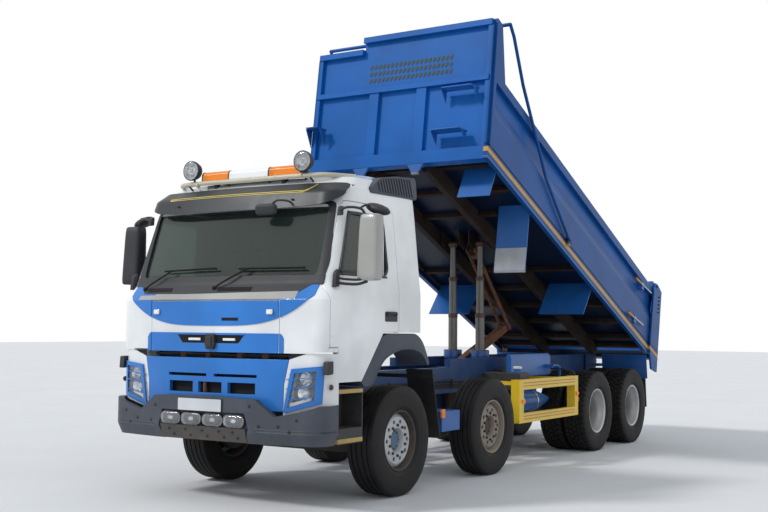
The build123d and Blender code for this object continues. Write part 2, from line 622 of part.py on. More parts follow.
WALL_SECTION = [
    # x, z from the inside of the floor up over the top rail and down the outside
    (1160, FLOOR_Z), (1160, SIDE_TOP - TOP_RAIL_H), (1150, SIDE_TOP - TOP_RAIL_H), (1150, SIDE_TOP),
    (BODY_HALF, SIDE_TOP), (BODY_HALF, SIDE_TOP - TOP_RAIL_H), (1192, SIDE_TOP - TOP_RAIL_H),
    (1192, 2054), (1240, 1874), (1240, RAIL_BOTTOM + BOTTOM_RAIL_H + 15), (1228, RAIL_BOTTOM + BOTTOM_RAIL_H + 15),
    (1228, RAIL_BOTTOM + BOTTOM_RAIL_H), (BODY_HALF, RAIL_BOTTOM + BOTTOM_RAIL_H),
    (BODY_HALF, RAIL_BOTTOM), (1185, RAIL_BOTTOM), (1185, FLOOR_Z),
]
wall = prism_y(WALL_SECTION, (500, BODY_REAR))
side_view = prism_x([(bulk_y(RAIL_BOTTOM), RAIL_BOTTOM), (BODY_REAR, RAIL_BOTTOM), (BODY_REAR, SIDE_TOP + 5),
                     (bulk_y(SIDE_TOP + 5), SIDE_TOP + 5)], (1000, 1300))
wall = wall & side_view
floor = block((-1186, 1186), (bulk_y(FLOOR_Z), BODY_REAR), (FLOOR_Z, FLOOR_Z + FLOOR_T))
slant = BULK_T / cos(radians(BULK_LEAN))
bulkhead = prism_x([(bulk_y(RAIL_BOTTOM), RAIL_BOTTOM), (bulk_y(BULK_TOP), BULK_TOP),
                    (bulk_y(BULK_TOP) + slant, BULK_TOP), (bulk_y(RAIL_BOTTOM) + slant, RAIL_BOTTOM)],
                   (-BODY_HALF, BODY_HALF))
NOTCH_X = -555.0
NOTCH_DROP = 145.0
bulkhead -= block((-1400, NOTCH_X), (0, 2000), (BULK_TOP - NOTCH_DROP, BULK_TOP + 100))
gusset = prism_x([(bulk_y(SIDE_TOP), SIDE_TOP), (bulk_y(BULK_TOP), BULK_TOP), (bulk_y(BULK_TOP) + 130, BULK_TOP),
                  (bulk_y(SIDE_TOP) + 290, SIDE_TOP)], (1215, BODY_HALF))
right_gusset = mirrored(gusset) - block((-1400, NOTCH_X), (0, 2000), (BULK_TOP - NOTCH_DROP, BULK_TOP + 100))
bin_solid = wall + mirrored(wall) + floor + bulkhead + gusset + right_gusset


def on_bulkhead(x, up, out):
    """Block on the bulkhead's front face: X pair, pair of heights up its slope, how far it stands out."""
    solid = block(x, (-out, 2), up)
    return Pos(0, BULK_FOOT_Y, RAIL_BOTTOM) * Rot(BULK_LEAN, 0, 0) * solid


BULK_RIBS = [
    # x low, x high, up low, up high, out
    (-BODY_HALF, BODY_HALF, 0, 150, 55),
    (-410, -280, 150, 930, 45),
    (250, 380, 150, 950, 45),
    (-1200, 1200, 930, 990, 60),
    (NOTCH_X, 1200, 1590, 1660, 60),
    (-1200, NOTCH_X, 1440, 1510, 60),
    (-1215, -1150, 150, 1440, 45),
    (1150, 1215, 150, 1590, 45),
]
for x0, x1, u0, u1, out in BULK_RIBS:
    bin_solid += on_bulkhead((x0, x1), (u0, u1), out)

# Under the body: runners over the chassis rails, cross bearers and the brackets at the pins
RUNNER_FRONT = 1290.0
under = block((RUNNER_X - RUNNER_W / 2, RUNNER_X + RUNNER_W / 2), (RUNNER_FRONT, BODY_REAR - 20),
              (RUNNER_BOTTOM, FLOOR_Z))
lug = prism_x([(HINGE_Y - 70, RUNNER_BOTTOM + 10), (HINGE_Y - 55, HINGE_Z - 30), (HINGE_Y, HINGE_Z - 62),
               (HINGE_Y + 52, HINGE_Z - 30), (HINGE_Y + 70, RUNNER_BOTTOM + 10)],
              (RUNNER_X - LUG_HALF, RUNNER_X + LUG_HALF))
under += lug
under -= rod_x(HINGE_PIN_R + PIN_CLEAR, (300, 500), HINGE_Y, HINGE_Z)
under += mirrored(under)
BEARER_Y = [1420, 2000, 2580, 4150, 4730, 5310, 5890, 6470, 6820]
for y in BEARER_Y:
    under += block((-1184, 1184), (y, y + 60), (FLOOR_Z - 55, FLOOR_Z))
for x in RAM_EAR_X:
    low = x - 12 if x == RAM_EAR_X[0] else x
    ear = prism_x([(3043, FLOOR_Z), (3113, 1283), (3273, 1283), (3343, FLOOR_Z)], (low, low + 12))
    under += ear + mirrored(ear)
under += prism_x([(STAB_FOOT_Y - 48, FLOOR_Z), (STAB_FOOT_Y - 38, STAB_FOOT_Z + 90), (STAB_FOOT_Y + 38, STAB_FOOT_Z + 90),
                  (STAB_FOOT_Y + 60, FLOOR_Z)], (-STAB_BEAM_X, STAB_BEAM_X))
keep("body_underframe", tipped(under))

# Wings that hang from the body over the second axle and ahead of the third
def wing(points, x, thick):
    """Plate that follows a line of (y, z) points, as thick as given along Y."""
    back = [(y + thick, z) for y, z in reversed(points)]
    return prism_x(points + back, x)


WING_A = [(1530, FLOOR_Z), (1479, 1022)]
WING_B = [(2478, FLOOR_Z), (2608, 915), (2665, 650)]
WING_C = [(4700, FLOOR_Z), (4529, 915)]
wings = [wing(WING_A, WING_X, 12), wing(WING_B, WING_X, 12), wing(WING_C, WIDE_WING_X, 12)]
for shape in wings:
    for side, on_side in SIDES.items():
        keep("body_wings", tipped(on_side(shape) - block((-1300, 1300), (1000, 7000), (FLOOR_Z, 1600))))

# Tailgate with deep side cheeks, hung from pivots at the top of the sides
GATE_TOP = 2380.0
gate = block((-1235, 1235), (BODY_REAR + 8, BODY_REAR + 8 + GATE_T), (GATE_BOTTOM, GATE_TOP))
for z in (GATE_BOTTOM, 1660, 2010, GATE_TOP - 70):
    gate += block((-1235, 1235), (BODY_REAR + 8 + GATE_T, BODY_REAR + 150), (z, z + 70))
for x in (-800, 0, 800):
    gate += block((x - 35, x + 35), (BODY_REAR + 8 + GATE_T, BODY_REAR + 150), (GATE_BOTTOM, GATE_TOP))
cheek = prism_x([(6745, 2330), (6800, 2450), (6900, 2450), (7090, 2380), (7112, 1130), (6870, 1130), (6745, 1370)],
                CHEEK_X)
for z in (2010, 2070, 2130, 2190, 2250):
    cheek -= prism_x([(6940, z), (7020, z + 22), (7020, z + 44), (6940, z + 22)], (1240, 1300))
cheek += block((1225, 1260), (BODY_REAR + 8, BODY_REAR + 150), (GATE_BOTTOM, GATE_TOP))
gate += cheek + mirrored(cheek)
gate -= rod_x(22 + PIN_CLEAR, (-1300, 1300), GATE_PIVOT_Y, GATE_PIVOT_Z)
hung = turned(gate, GATE_PIVOT_Y, GATE_PIVOT_Z, GATE_OPEN_REST)
keep("tailgate", tipped(hung))

# Pivot posts of the tailgate, on the rear corners of the body
pivot = block((1165, 1240), (6765, 6925), (SIDE_TOP, 2460))
pivot += rod_x(22, (1235, 1296), GATE_PIVOT_Y, GATE_PIVOT_Z)
for side, on_side in SIDES.items():
    bin_solid += on_side(pivot)

keep("body_bin", tipped(bin_solid))

# Sheeting arms: a bent tube on each side and a roller tube across, pivoting low on the sides
SHEET_PIVOT = (3560.0, 1500.0)
SHEET_R = 22.0
ARM_LINE = [SHEET_PIVOT, (2594, 1881), (1584, 2566), (1150, 2952), (1010, 3030)]
arm_x = 1274.0
sheet = rod_x(60, (1254, 1284), *SHEET_PIVOT)
for (y0, z0), (y1, z1) in zip(ARM_LINE, ARM_LINE[1:]):
    sheet += bar((arm_x, y0, z0), (arm_x, y1, z1), SHEET_R * 0.9)
    sheet += Pos(arm_x, y1, z1) * Sphere(SHEET_R * 0.9)
sheet += mirrored(sheet)
sheet += rod_x(SHEET_R, (-arm_x, arm_x), *ARM_LINE[-1])
keep("sheeting_arms", tipped(sheet))

# Rams: two telescopic sets side by side, each with a barrel and three tubes
EYE_PIN_X = (RAM_EAR_X[0] + 5, RAM_EAR_X[1] - 5)
RAM_TUBES = [
    # name, radius, foot above the trunnion, top above the trunnion as it stands
    ("ram_tubes_lower", 63, 241, 1232),
    ("ram_tubes_middle", 56, 730, 1710),
    ("ram_tubes_upper", 44, 1122, RAM_STAND),
]
barrel = rod_z(98, RAM_X, RAM_Y, (TRUNNION_Z - 250, TRUNNION_Z + BARREL_REACH - 110))
barrel += rod_z(116, RAM_X, RAM_Y, (TRUNNION_Z + BARREL_REACH - 110, TRUNNION_Z + BARREL_REACH))
barrel -= rod_z(63 + PIN_CLEAR, RAM_X, RAM_Y, (TRUNNION_Z - 235, TRUNNION_Z + BARREL_REACH + 1))
barrel += rod_x(26, (RAM_X + 95, 307 - 0.5), RAM_Y, TRUNNION_Z)
link = rod_x(40, (-(RAM_X - 96), RAM_X - 96), RAM_Y, TRUNNION_Z)
keep("ram_barrels", barrel + mirrored(barrel) + link)
for index, (name, radius, foot, top) in enumerate(RAM_TUBES):
    tube = rod_z(radius, RAM_X, RAM_Y, (TRUNNION_Z + foot, TRUNNION_Z + top))
    if index + 1 < len(RAM_TUBES):
        bore = RAM_TUBES[index + 1][1] + PIN_CLEAR
        tube -= rod_z(bore, RAM_X, RAM_Y, (TRUNNION_Z + foot + 15, TRUNNION_Z + top + 1))
    else:
        tube += rod_x(40, (RAM_X - 45, RAM_X + 45), RAM_Y, TRUNNION_Z + top)
        tube += rod_x(22, EYE_PIN_X, RAM_Y, TRUNNION_Z + top)
    keep(name, tube, mirrored(tube))

# Stabiliser: two hinged frames that keep the raised body from swaying
eye_y, eye_z = tipped_point(STAB_FOOT_Y, STAB_FOOT_Z + 120)
span = hypot(eye_y - STAB_FOOT_Y, eye_z - STAB_FOOT_Z)
rise = degrees(atan2(eye_z - STAB_FOOT_Z, eye_y - STAB_FOOT_Y))
from_span = degrees(atan2(sqrt(STAB_ARM ** 2 - (span / 2) ** 2), span / 2))
LOWER_ANGLE = rise - from_span
KNEE_Y = STAB_FOOT_Y + STAB_ARM * cos(radians(LOWER_ANGLE))
KNEE_Z = STAB_FOOT_Z + STAB_ARM * sin(radians(LOWER_ANGLE))


foot, knee, head = (STAB_FOOT_Y, STAB_FOOT_Z), (KNEE_Y, KNEE_Z), (eye_y, eye_z)


def along(start, end, shape):
    """Place a shape drawn along +Y from the origin between two (y, z) pivots."""
    angle = degrees(atan2(end[1] - start[1], end[0] - start[0]))
    return Pos(0, start[0], start[1]) * Rot(angle, 0, 0) * shape


beam = block((-STAB_BEAM_X, STAB_BEAM_X), (0, STAB_ARM), (-60, 60))
beam = beam & prism_x([(-30, -38), (0, -42), (300, -75), (STAB_ARM, -46), (STAB_ARM + 40, 0), (STAB_ARM, 46),
                       (300, 50), (0, 42), (-30, 38)], (-100, 100))
beam -= rod_x(20 + PIN_CLEAR, (-100, 100), 0, 0)
beam += rod_x(20, (-STAB_LEG_X[1] - 6, STAB_LEG_X[1] + 6), STAB_ARM, 0)
keep("stabiliser_lower", along(foot, knee, beam))
legs = None
for side in (-1, 1):
    x_pair = sorted((side * STAB_LEG_X[0], side * STAB_LEG_X[1]))
    leg = block(x_pair, (0, STAB_ARM), (-26, 26)) + rod_x(40, x_pair, 0, 0) + rod_x(40, x_pair, STAB_ARM, 0)
    legs = leg if legs is None else legs + leg
legs += block((-STAB_LEG_X[0], STAB_LEG_X[0]), (STAB_ARM - 420, STAB_ARM - 360), (-20, 20))
legs += block((-STAB_LEG_X[0], STAB_LEG_X[0]), (STAB_ARM - 140, STAB_ARM - 90), (-20, 20))
legs -= rod_x(20 + PIN_CLEAR, (-100, 100), 0, 0)
legs -= rod_x(20 + PIN_CLEAR, (-100, 100), STAB_ARM, 0)
keep("stabiliser_upper", along(knee, head, legs))

# Every node to its own file
SHIFT = Pos(0, -ORIGIN_Y, 0)
for name, solids in NODES.items():
    moved = [SHIFT * solid for solid in solids]
    export_step(moved[0] if len(moved) == 1 else Compound(children=moved), f"parts/{name}.step")
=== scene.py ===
"""The finish and fine detail of a four-axle tipper lorry with its body raised.

Metres. X is across, +X the lorry's left side; it drives towards -Y; Z is up. Shapes are drawn
with the first axle at Y = 0 and moved by FIRST_AXLE when shown. Shapes of the tipping body are
drawn with the body lowered and then raised about its rear hinge.
"""
import json
from math import cos, pi, radians, sin

import bmesh
import bpy
import numpy as np
from mathutils import Matrix


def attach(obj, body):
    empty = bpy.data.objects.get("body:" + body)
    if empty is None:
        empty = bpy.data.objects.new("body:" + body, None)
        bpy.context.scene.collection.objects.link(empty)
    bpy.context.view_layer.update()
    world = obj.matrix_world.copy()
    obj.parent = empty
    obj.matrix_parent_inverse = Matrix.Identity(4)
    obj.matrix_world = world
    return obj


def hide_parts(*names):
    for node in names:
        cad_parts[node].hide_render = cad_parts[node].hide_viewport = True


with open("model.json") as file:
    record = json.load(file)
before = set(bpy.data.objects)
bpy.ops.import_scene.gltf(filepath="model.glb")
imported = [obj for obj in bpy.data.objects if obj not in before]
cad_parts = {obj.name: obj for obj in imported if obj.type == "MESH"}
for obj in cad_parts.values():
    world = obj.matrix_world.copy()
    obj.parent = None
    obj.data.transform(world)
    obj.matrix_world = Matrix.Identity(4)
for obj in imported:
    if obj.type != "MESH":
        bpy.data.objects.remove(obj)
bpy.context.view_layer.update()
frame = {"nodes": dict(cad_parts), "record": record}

# Places that the whole lorry shares
FIRST_AXLE = -2.9853
AXLE_Y = {1: 0.0, 2: 1.995, 3: 5.100, 4: 6.470}
TYRE_R = 0.538
STEER_WHEEL_X = 1.038
OUTER_WHEEL_X = 1.062
TWIN_PITCH = 0.345
TIP = radians(23.1)
HINGE = (6.846, 1.157)
RAIL_BOTTOM = 1.334
SIDES = {"left": 1, "right": -1}
ORIGIN = (0, 0, 0)

# The bowed plan below the cab: front of the bumper and of the grille, half width, corner radius, sweep back
BUMPER_FRONT, GRILLE_FRONT = -1.590, -1.470
BAND_HALF, BAND_CORNER, BAND_SWEEP = 1.262, 0.210, 0.095

# The cab's plan at each height: front at the middle, half width, corner radius, sweep back
CAB_Z = np.array([1.113, 1.875, 1.960, 2.030, 2.740, 2.930, 3.040, 3.095])
CAB_FRONT = np.array([-1.475, -1.475, -1.412, -1.360, -1.144, -1.056, -0.905, -0.660])
CAB_HALF = np.array([1.245, 1.245, 1.245, 1.236, 1.163, 1.138, 1.090, 1.000])
CAB_CORNER = np.array([0.150, 0.150, 0.155, 0.160, 0.170, 0.190, 0.230, 0.300])
CAB_SWEEP = np.array([0.080, 0.080, 0.082, 0.085, 0.085, 0.080, 0.060, 0.040])


def cab_face(x, z, out=0.0):
    """Y of the cab's front: a parabola swept back to the corner, then a quarter circle; out is how far proud."""
    front, half, corner, sweep = (np.interp(z, CAB_Z, t) for t in (CAB_FRONT, CAB_HALF, CAB_CORNER, CAB_SWEEP))
    reach = half - corner
    bow = front + sweep * (np.minimum(np.abs(x), reach) / reach) ** 2
    round_in = np.clip(np.abs(x) - reach, 0, corner * 0.999)
    return bow + corner - np.sqrt(corner ** 2 - round_in ** 2) - out


def plan_point(s, z, front, half, corner, sweep, out=0.0):
    """Point at s along a bowed plan from its middle: a swept parabola, then a corner arc, then the straight side."""
    reach, a = half - corner, np.abs(s)
    angle = np.clip((a - reach) / corner, 0, pi / 2)
    past = np.maximum(a - reach - corner * pi / 2, 0)
    along = np.minimum(a, reach)
    x = along + (corner + out) * np.sin(angle)
    y = front + sweep * (along / reach) ** 2 + corner - (corner + out) * np.cos(angle) + past
    return np.stack([np.sign(s) * x, y, z + 0 * s], -1)


def band_point(s, z, front=BUMPER_FRONT, out=0.0):
    """Point on the bowed front below the cab, on the same plan as the bumper."""
    return plan_point(s, z, front, BAND_HALF, BAND_CORNER, BAND_SWEEP, out)


# Building shapes

class Form:
    """Points and faces of a shape; each block of faces has the number of its finish."""

    def __init__(self, points, blocks):
        self.points = np.asarray(points, float).reshape(-1, 3)
        self.blocks = blocks

    def __add__(self, other):
        shift = len(self.points)
        return Form(np.vstack([self.points, other.points]),
                    self.blocks + [(faces + shift, finish) for faces, finish in other.blocks])

    def finished(self, finish):
        """The same shape, all of it with one finish."""
        return Form(self.points, [(faces, finish) for faces, _ in self.blocks])

    def moved(self, x=0.0, y=0.0, z=0.0):
        """Shifted along each axis."""
        return Form(self.points + (x, y, z), self.blocks)

    def turned(self, angle, axis="X", about=(0.0, 0.0, 0.0)):
        """Turned by an angle round an axis through a point."""
        turn = np.array(Matrix.Rotation(angle, 3, axis))
        return Form((self.points - about) @ turn.T + about, self.blocks)

    def mirrored(self):
        """X with its sign changed, and each face's order turned round."""
        return Form(self.points * (-1, 1, 1), [(faces[:, ::-1], finish) for faces, finish in self.blocks])

    def tipped(self):
        """Raised with the body about its rear hinge."""
        return self.turned(-TIP, "X", (0, *HINGE))


def joined(forms):
    """Several forms as one, in their order."""
    forms = list(forms)
    total = forms[0]
    for form in forms[1:]:
        total = total + form
    return total


def both(form):
    """A form and its mirror image across the lorry's middle."""
    return form + form.mirrored()


def squares(index):
    """Faces of a grid of point numbers: each face is four neighbours."""
    return np.stack([index[:-1, :-1], index[1:, :-1], index[1:, 1:], index[:-1, 1:]], -1).reshape(-1, 4)


def skin(points, round_rows=False, round_cols=False, finish=0):
    """A surface over a grid of points; a round direction meets its own start."""
    rows, cols = points.shape[:2]
    index = np.arange(rows * cols).reshape(rows, cols)
    if round_rows:
        index = np.vstack([index, index[:1]])
    if round_cols:
        index = np.hstack([index, index[:, :1]])
    return Form(points, [(squares(index), finish)])


def thick(points, depth, finish=0):
    """A closed panel: a grid, the same grid set back by depth (x, y, z), and a wall round the rim."""
    return walled(skin(points, finish=finish), points + depth)


def walled(front, back_points):
    """Closes a sheet: its faces, the same faces on other points, and a wall at each edge that only one face has."""
    count = len(front.points)
    faces = np.vstack([block for block, _ in front.blocks])
    edges = np.stack([faces, np.roll(faces, -1, 1)], -1).reshape(-1, 2)
    key = np.sort(edges, 1) @ (count, 1)
    _, first, times = np.unique(key, return_index=True, return_counts=True)
    start, end = edges[first[times == 1]].T
    walls = np.stack([start, end, end + count, start + count], -1)
    blocks = front.blocks + [(block[:, ::-1] + count, finish) for block, finish in front.blocks]
    points = np.vstack([front.points, np.asarray(back_points).reshape(-1, 3)])
    return Form(points, blocks + [(walls, front.blocks[0][1])])


def circle(radius, count):
    """Points round a circle: radius times cosine and sine of equal turns."""
    turn = np.arange(count) * 2 * pi / count
    return radius * np.stack([np.cos(turn), np.sin(turn)], -1)


def softened(outline, radius, steps=5):
    """An outline whose corners are rounded: each corner becomes a quadratic curve between points a radius away."""
    corner = np.asarray(outline, float)
    before, after = np.roll(corner, 1, 0) - corner, np.roll(corner, -1, 0) - corner
    size_b, size_a = np.linalg.norm(before, axis=1), np.linalg.norm(after, axis=1)
    cut = np.minimum(np.broadcast_to(radius, len(corner)), 0.49 * np.minimum(size_a, size_b))[:, None]
    start = (corner + before / size_b[:, None] * cut)[:, None]
    end = (corner + after / size_a[:, None] * cut)[:, None]
    t = np.linspace(0, 1, steps)[None, :, None]
    return ((1 - t) ** 2 * start + 2 * t * (1 - t) * corner[:, None] + t ** 2 * end).reshape(-1, 2)


def corners(x0, x1, z0, z1):
    """The four corners of a rectangle, in order round it."""
    return [(x0, z0), (x1, z0), (x1, z1), (x0, z1)]


def rounded(x0, x1, z0, z1, radius, steps=5):
    """A rectangle with rounded corners."""
    return softened(corners(x0, x1, z0, z1), radius, steps)


def signed_power(value, power):
    """A value's size to a power, with its own sign: the superellipse's squarer cosine or sine."""
    return np.sign(value) * np.abs(value) ** power


def even_points(line, count, closed=False):
    """Points at equal distances along a line, or round a closed outline."""
    line = np.vstack([line, line[:1]]) if closed else line
    far = np.concatenate([[0], np.cumsum(np.hypot(*np.diff(line, axis=0).T))])
    at = np.linspace(0, far[-1], count, endpoint=not closed)
    return np.stack([np.interp(at, far, line[:, k]) for k in (0, 1)], -1)


def full_turn(count):
    """Equal turns from 0, all the way round."""
    return np.linspace(0, 2 * pi, count, endpoint=False)


def ring_walls(count):
    """Numbers of a ring's points, and the faces between it and a second ring that follows it."""
    ring = np.arange(count)
    return ring, np.stack([ring, np.roll(ring, -1), np.roll(ring, -1) + count, ring + count], -1)


PLANES = {"x": (1, 2, 0), "y": (0, 2, 1), "z": (0, 1, 2)}


def slab(outline, low, high, axis="y", finish=0):
    """An outline carried straight from low to high along an axis, closed at both ends."""
    outline = np.asarray(outline, float)
    count = len(outline)
    first, second, third = PLANES[axis]
    points = np.zeros((2, count, 3))
    points[:, :, first] = outline[:, 0]
    points[:, :, second] = outline[:, 1]
    points[:, :, third] = np.array([low, high])[:, None]
    ring, walls = ring_walls(count)
    return Form(points, [(walls, finish), (ring[None, ::-1], finish), (ring[None] + count, finish)])


def box(x, y, z, finish=0):
    """A block between two values along each axis."""
    return slab(corners(*x, *z), *y, "y", finish)


def carried(profile, path, up=(0, 0, 1), closed=False, finish=0):
    """A closed profile (sideways, upwards) carried along a path; its frame is the path's direction and up."""
    path = np.asarray(path, float)
    profile = np.asarray(profile, float)
    if closed:
        ahead = np.roll(path, -1, 0) - np.roll(path, 1, 0)
    else:
        ahead = np.gradient(path, axis=0)
    ahead /= np.linalg.norm(ahead, axis=1)[:, None]
    side = np.cross(ahead, np.broadcast_to(up, path.shape))
    side /= np.linalg.norm(side, axis=1)[:, None]
    above = np.cross(side, ahead)
    points = path[:, None] + (profile[None, :, :1] * side[:, None] + profile[None, :, 1:] * above[:, None])
    form = skin(points, round_rows=closed, round_cols=True, finish=finish)
    if not closed:
        count, last = len(profile), (len(path) - 1) * len(profile)
        ring = np.arange(count)
        form.blocks += [(ring[None, ::-1], finish), (ring[None] + last, finish)]
    return form


def smooth_path(points, steps=6):
    """A curve through points: Catmull-Rom spans, worked out for all spans together."""
    p = np.asarray(points, float)
    p = np.vstack([2 * p[0] - p[1], p, 2 * p[-1] - p[-2]])
    a, b, c, d = p[:-3, None], p[1:-2, None], p[2:-1, None], p[3:, None]
    t = np.linspace(0, 1, steps, endpoint=False)[None, :, None]
    curve = 0.5 * (2 * b + (c - a) * t + (2 * a - 5 * b + 4 * c - d) * t ** 2 + (3 * b - a - 3 * c + d) * t ** 3)
    return np.vstack([curve.reshape(-1, p.shape[1]), p[-2]])


def tube(points, radius, up=(0, 0, 1), steps=6, sides=12):
    """A round bar whose middle runs smoothly through the points."""
    path = smooth_path(points, steps) if len(points) > 2 else np.asarray(points, float)
    return carried(circle(radius, sides), path, up)


def spun(section, centre, axis="x", count=48, closed=False, finish=0):
    """A section of (along, radius) points turned about an axis through centre."""
    section = np.asarray(section, float)
    turn = np.arange(count) * 2 * pi / count
    first, second, third = PLANES[axis]
    points = np.zeros((count, len(section), 3))
    points[:, :, first] = section[None, :, 1] * np.cos(turn)[:, None]
    points[:, :, second] = section[None, :, 1] * np.sin(turn)[:, None]
    points[:, :, third] = section[None, :, 0]
    return skin(points + np.asarray(centre), round_rows=True, round_cols=closed, finish=finish)


def turned_parts(*rows):
    """Sections turned about the X axis; each row is a section, the steps round, closed or not, and the finish."""
    return joined(spun(section, ORIGIN, "x", *rest) for section, *rest in rows)


def rod(half, radius):
    """Section of a plain rod, twice half long and closed at both ends."""
    return [(-half, 0.0), (-half, radius), (half, radius), (half, 0.0)]


def round_copies(form, count, start=0.0):
    """Copies of a form at equal turns about the X axis."""
    return joined(form.turned(start + k * 2 * pi / count, "X") for k in range(count))


def nut(size, height):
    """A hexagonal nut along X with a domed end, its foot at the origin."""
    section = [(0, 0), (0, size), (height * 0.7, size), (height * 0.85, size * 0.8),
               (height, size * 0.45), (height, 0)]
    return spun(section, ORIGIN, "x", 6)


def bolt(place, size, height):
    """A round bolt head that faces forwards: a low dome on a face."""
    t = np.linspace(0, pi / 2, 4)
    section = np.vstack([[(0, size * 1.25), (height * 0.25, size * 1.25)],
                         np.stack([height * (0.25 + 0.75 * np.sin(t)), size * np.cos(t)], -1)])
    return spun(section * (-1, 1), place, "y", 10)


def show(name, form, body, finishes, slot, bevel=0.0, sharp=35, tip=False):
    """Puts a form on the lorry: merges its doubles, faces it outwards, and gives it its finishes and body."""
    if tip:
        form = form.tipped()
    mesh = bpy.data.meshes.new(name)
    faces = [face for block, _ in form.blocks for face in block.tolist()]
    mesh.from_pydata((form.points + (0, FIRST_AXLE, 0)).tolist(), [], faces)
    finishes = finishes if isinstance(finishes, (list, tuple)) else [finishes]
    for finish in finishes:
        mesh.materials.append(finish)
    kind = np.concatenate([np.full(len(block), finish) for block, finish in form.blocks])
    mesh.polygons.foreach_set("material_index", kind.astype(np.int32))
    work = bmesh.new()
    work.from_mesh(mesh)
    bmesh.ops.remove_doubles(work, verts=work.verts, dist=2e-5)
    bmesh.ops.dissolve_degenerate(work, edges=work.edges, dist=1e-6)
    bmesh.ops.recalc_face_normals(work, faces=work.faces)
    work.to_mesh(mesh)
    work.free()
    mesh.polygons.foreach_set("use_smooth", np.ones(len(mesh.polygons), bool))
    piece = bpy.data.objects.new(name, mesh)
    bpy.context.scene.collection.objects.link(piece)
    if bevel:
        edge = piece.modifiers.new("edge", "BEVEL")
        edge.width, edge.segments, edge.limit_method = bevel, 2, "ANGLE"
        edge.angle_limit = radians(30)
        edge.harden_normals = True
    else:
        mesh.set_sharp_from_angle(angle=radians(sharp))
    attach(piece, body)
    return piece


def on_side(form, sign):
    """A form of the left side, or its mirror image for the right."""
    return form if sign > 0 else form.mirrored()


def show_pair(name, form, body, finishes, slot, **looks):
    """Shows a form of the left side and its mirror image on the right; {} in body stands for the side's letter."""
    return [show(f"{name}_{side}", on_side(form, sign), body.format(side[0]), finishes, slot, **looks)
            for side, sign in SIDES.items()]


# Finishes

class Shade:
    """A socket of a finish. Its operators add Math nodes and node() adds any other."""

    def __init__(self, tree, socket):
        self.tree, self.socket = tree, socket

    def node(self, kind, settings=None, sockets=None, out=0):
        """Adds a node: its settings first (stops are a ramp's places and colours), then its sockets."""
        made = self.tree.nodes.new("ShaderNode" + kind)
        for key, value in (settings or {}).items():
            if key == "stops":
                stops = made.color_ramp.elements
                while len(stops) < len(value):
                    stops.new(0.5)
                for stop, (place, colour) in zip(stops, value):
                    stop.position, stop.color = place, (*colour, 1.0)
            else:
                setattr(made, key, value)
        for key, value in (sockets or {}).items():
            if isinstance(value, Shade):
                self.tree.links.new(value.socket, made.inputs[key])
            else:
                made.inputs[key].default_value = value
        return Shade(self.tree, made.outputs[out])

    def maths(self, operation, *values, clamp=False):
        """A Math node on shades or numbers."""
        return self.node("Math", {"operation": operation, "use_clamp": clamp}, dict(enumerate(values)))

    def __add__(self, other):
        return self.maths("ADD", self, other)

    def __sub__(self, other):
        return self.maths("SUBTRACT", self, other)

    def __rsub__(self, other):
        return self.maths("SUBTRACT", other, self)

    def __mul__(self, other):
        return self.maths("MULTIPLY", self, other)

    def __abs__(self):
        return self.maths("ABSOLUTE", self)

    def rises(self, low, high):
        """0 below low, 1 above high, smooth between."""
        return self.node("MapRange", {"interpolation_type": "SMOOTHSTEP"}, {0: self, 1: low, 2: high, 3: 0.0, 4: 1.0})

    def between(self, low, high):
        """1 from low to high and 0 outside, each edge 4 mm soft."""
        edge = 0.002
        return self.rises(low - edge, low + edge) * (1 - self.rises(high - edge, high + edge))

    def held(self):
        """Kept between 0 and 1."""
        return self.maths("ADD", self, 0.0, clamp=True)

    def noise(self, scale, detail=4.0, rough=0.55, stretch=None):
        """Fractal noise at this place, which stretch scales along each axis first."""
        where = self if stretch is None else self.node("Mapping", None, {"Vector": self, "Scale": stretch})
        return where.node("TexNoise", None, {"Vector": where, "Scale": scale, "Detail": detail, "Roughness": rough})

    def part(self, axis):
        """X, Y or Z of this place."""
        return self.node("SeparateXYZ", None, {0: self}, out="XYZ".index(axis))

    def along(self, direction):
        """How far a place lies along a direction."""
        return self.node("VectorMath", {"operation": "DOT_PRODUCT"}, {0: self, 1: direction}, out=1)

    def mixed(self, first, second):
        """Colour that goes from first to second as this shade goes from 0 to 1."""
        colour = [(*c, 1.0) if isinstance(c, tuple) else c for c in (first, second)]
        return self.node("Mix", {"data_type": "RGBA"}, {0: self, 6: colour[0], 7: colour[1]}, out=2)

    def bump(self, depth, strength):
        """A normal that this shade's height bends."""
        return self.node("Bump", None, {"Strength": strength, "Distance": depth, "Height": self})


def begin(name):
    """A new finish and the place of each point on it, in metres of the part."""
    material = bpy.data.materials.new(name)
    material.use_nodes = True
    tree = material.node_tree
    where = tree.nodes.new("ShaderNodeTexCoord")
    return material, Shade(tree, where.outputs["Object"])


def set_surface(material, **sockets):
    """Sets or links sockets of a finish's surface; an underscore stands for a space."""
    surface = material.node_tree.nodes["Principled BSDF"]
    for key, value in sockets.items():
        socket = surface.inputs[key.replace("_", " ")]
        if isinstance(value, Shade):
            material.node_tree.links.new(value.socket, socket)
        elif isinstance(value, tuple) and len(value) == 3:
            socket.default_value = (*value, 1.0)
        else:
            socket.default_value = value
    return material


ROAD_DUST = (0.20, 0.17, 0.14)
RUST = (0.16, 0.055, 0.022)


def road_dirt(place, amount, low=0.5, high=1.9):
    """Dust that clings low down, in clouds, with fine specks."""
    height = 1 - place.part("Z").rises(low, high)
    clouds = place.noise(2.3, 5.0, 0.65).rises(0.36, 0.72)
    specks = place.noise(60.0, 2.0, 0.6).rises(0.60, 0.75)
    return ((height * 0.8 + 0.15) * (clouds * 0.8 + specks * 0.35 + 0.15) * amount).held()


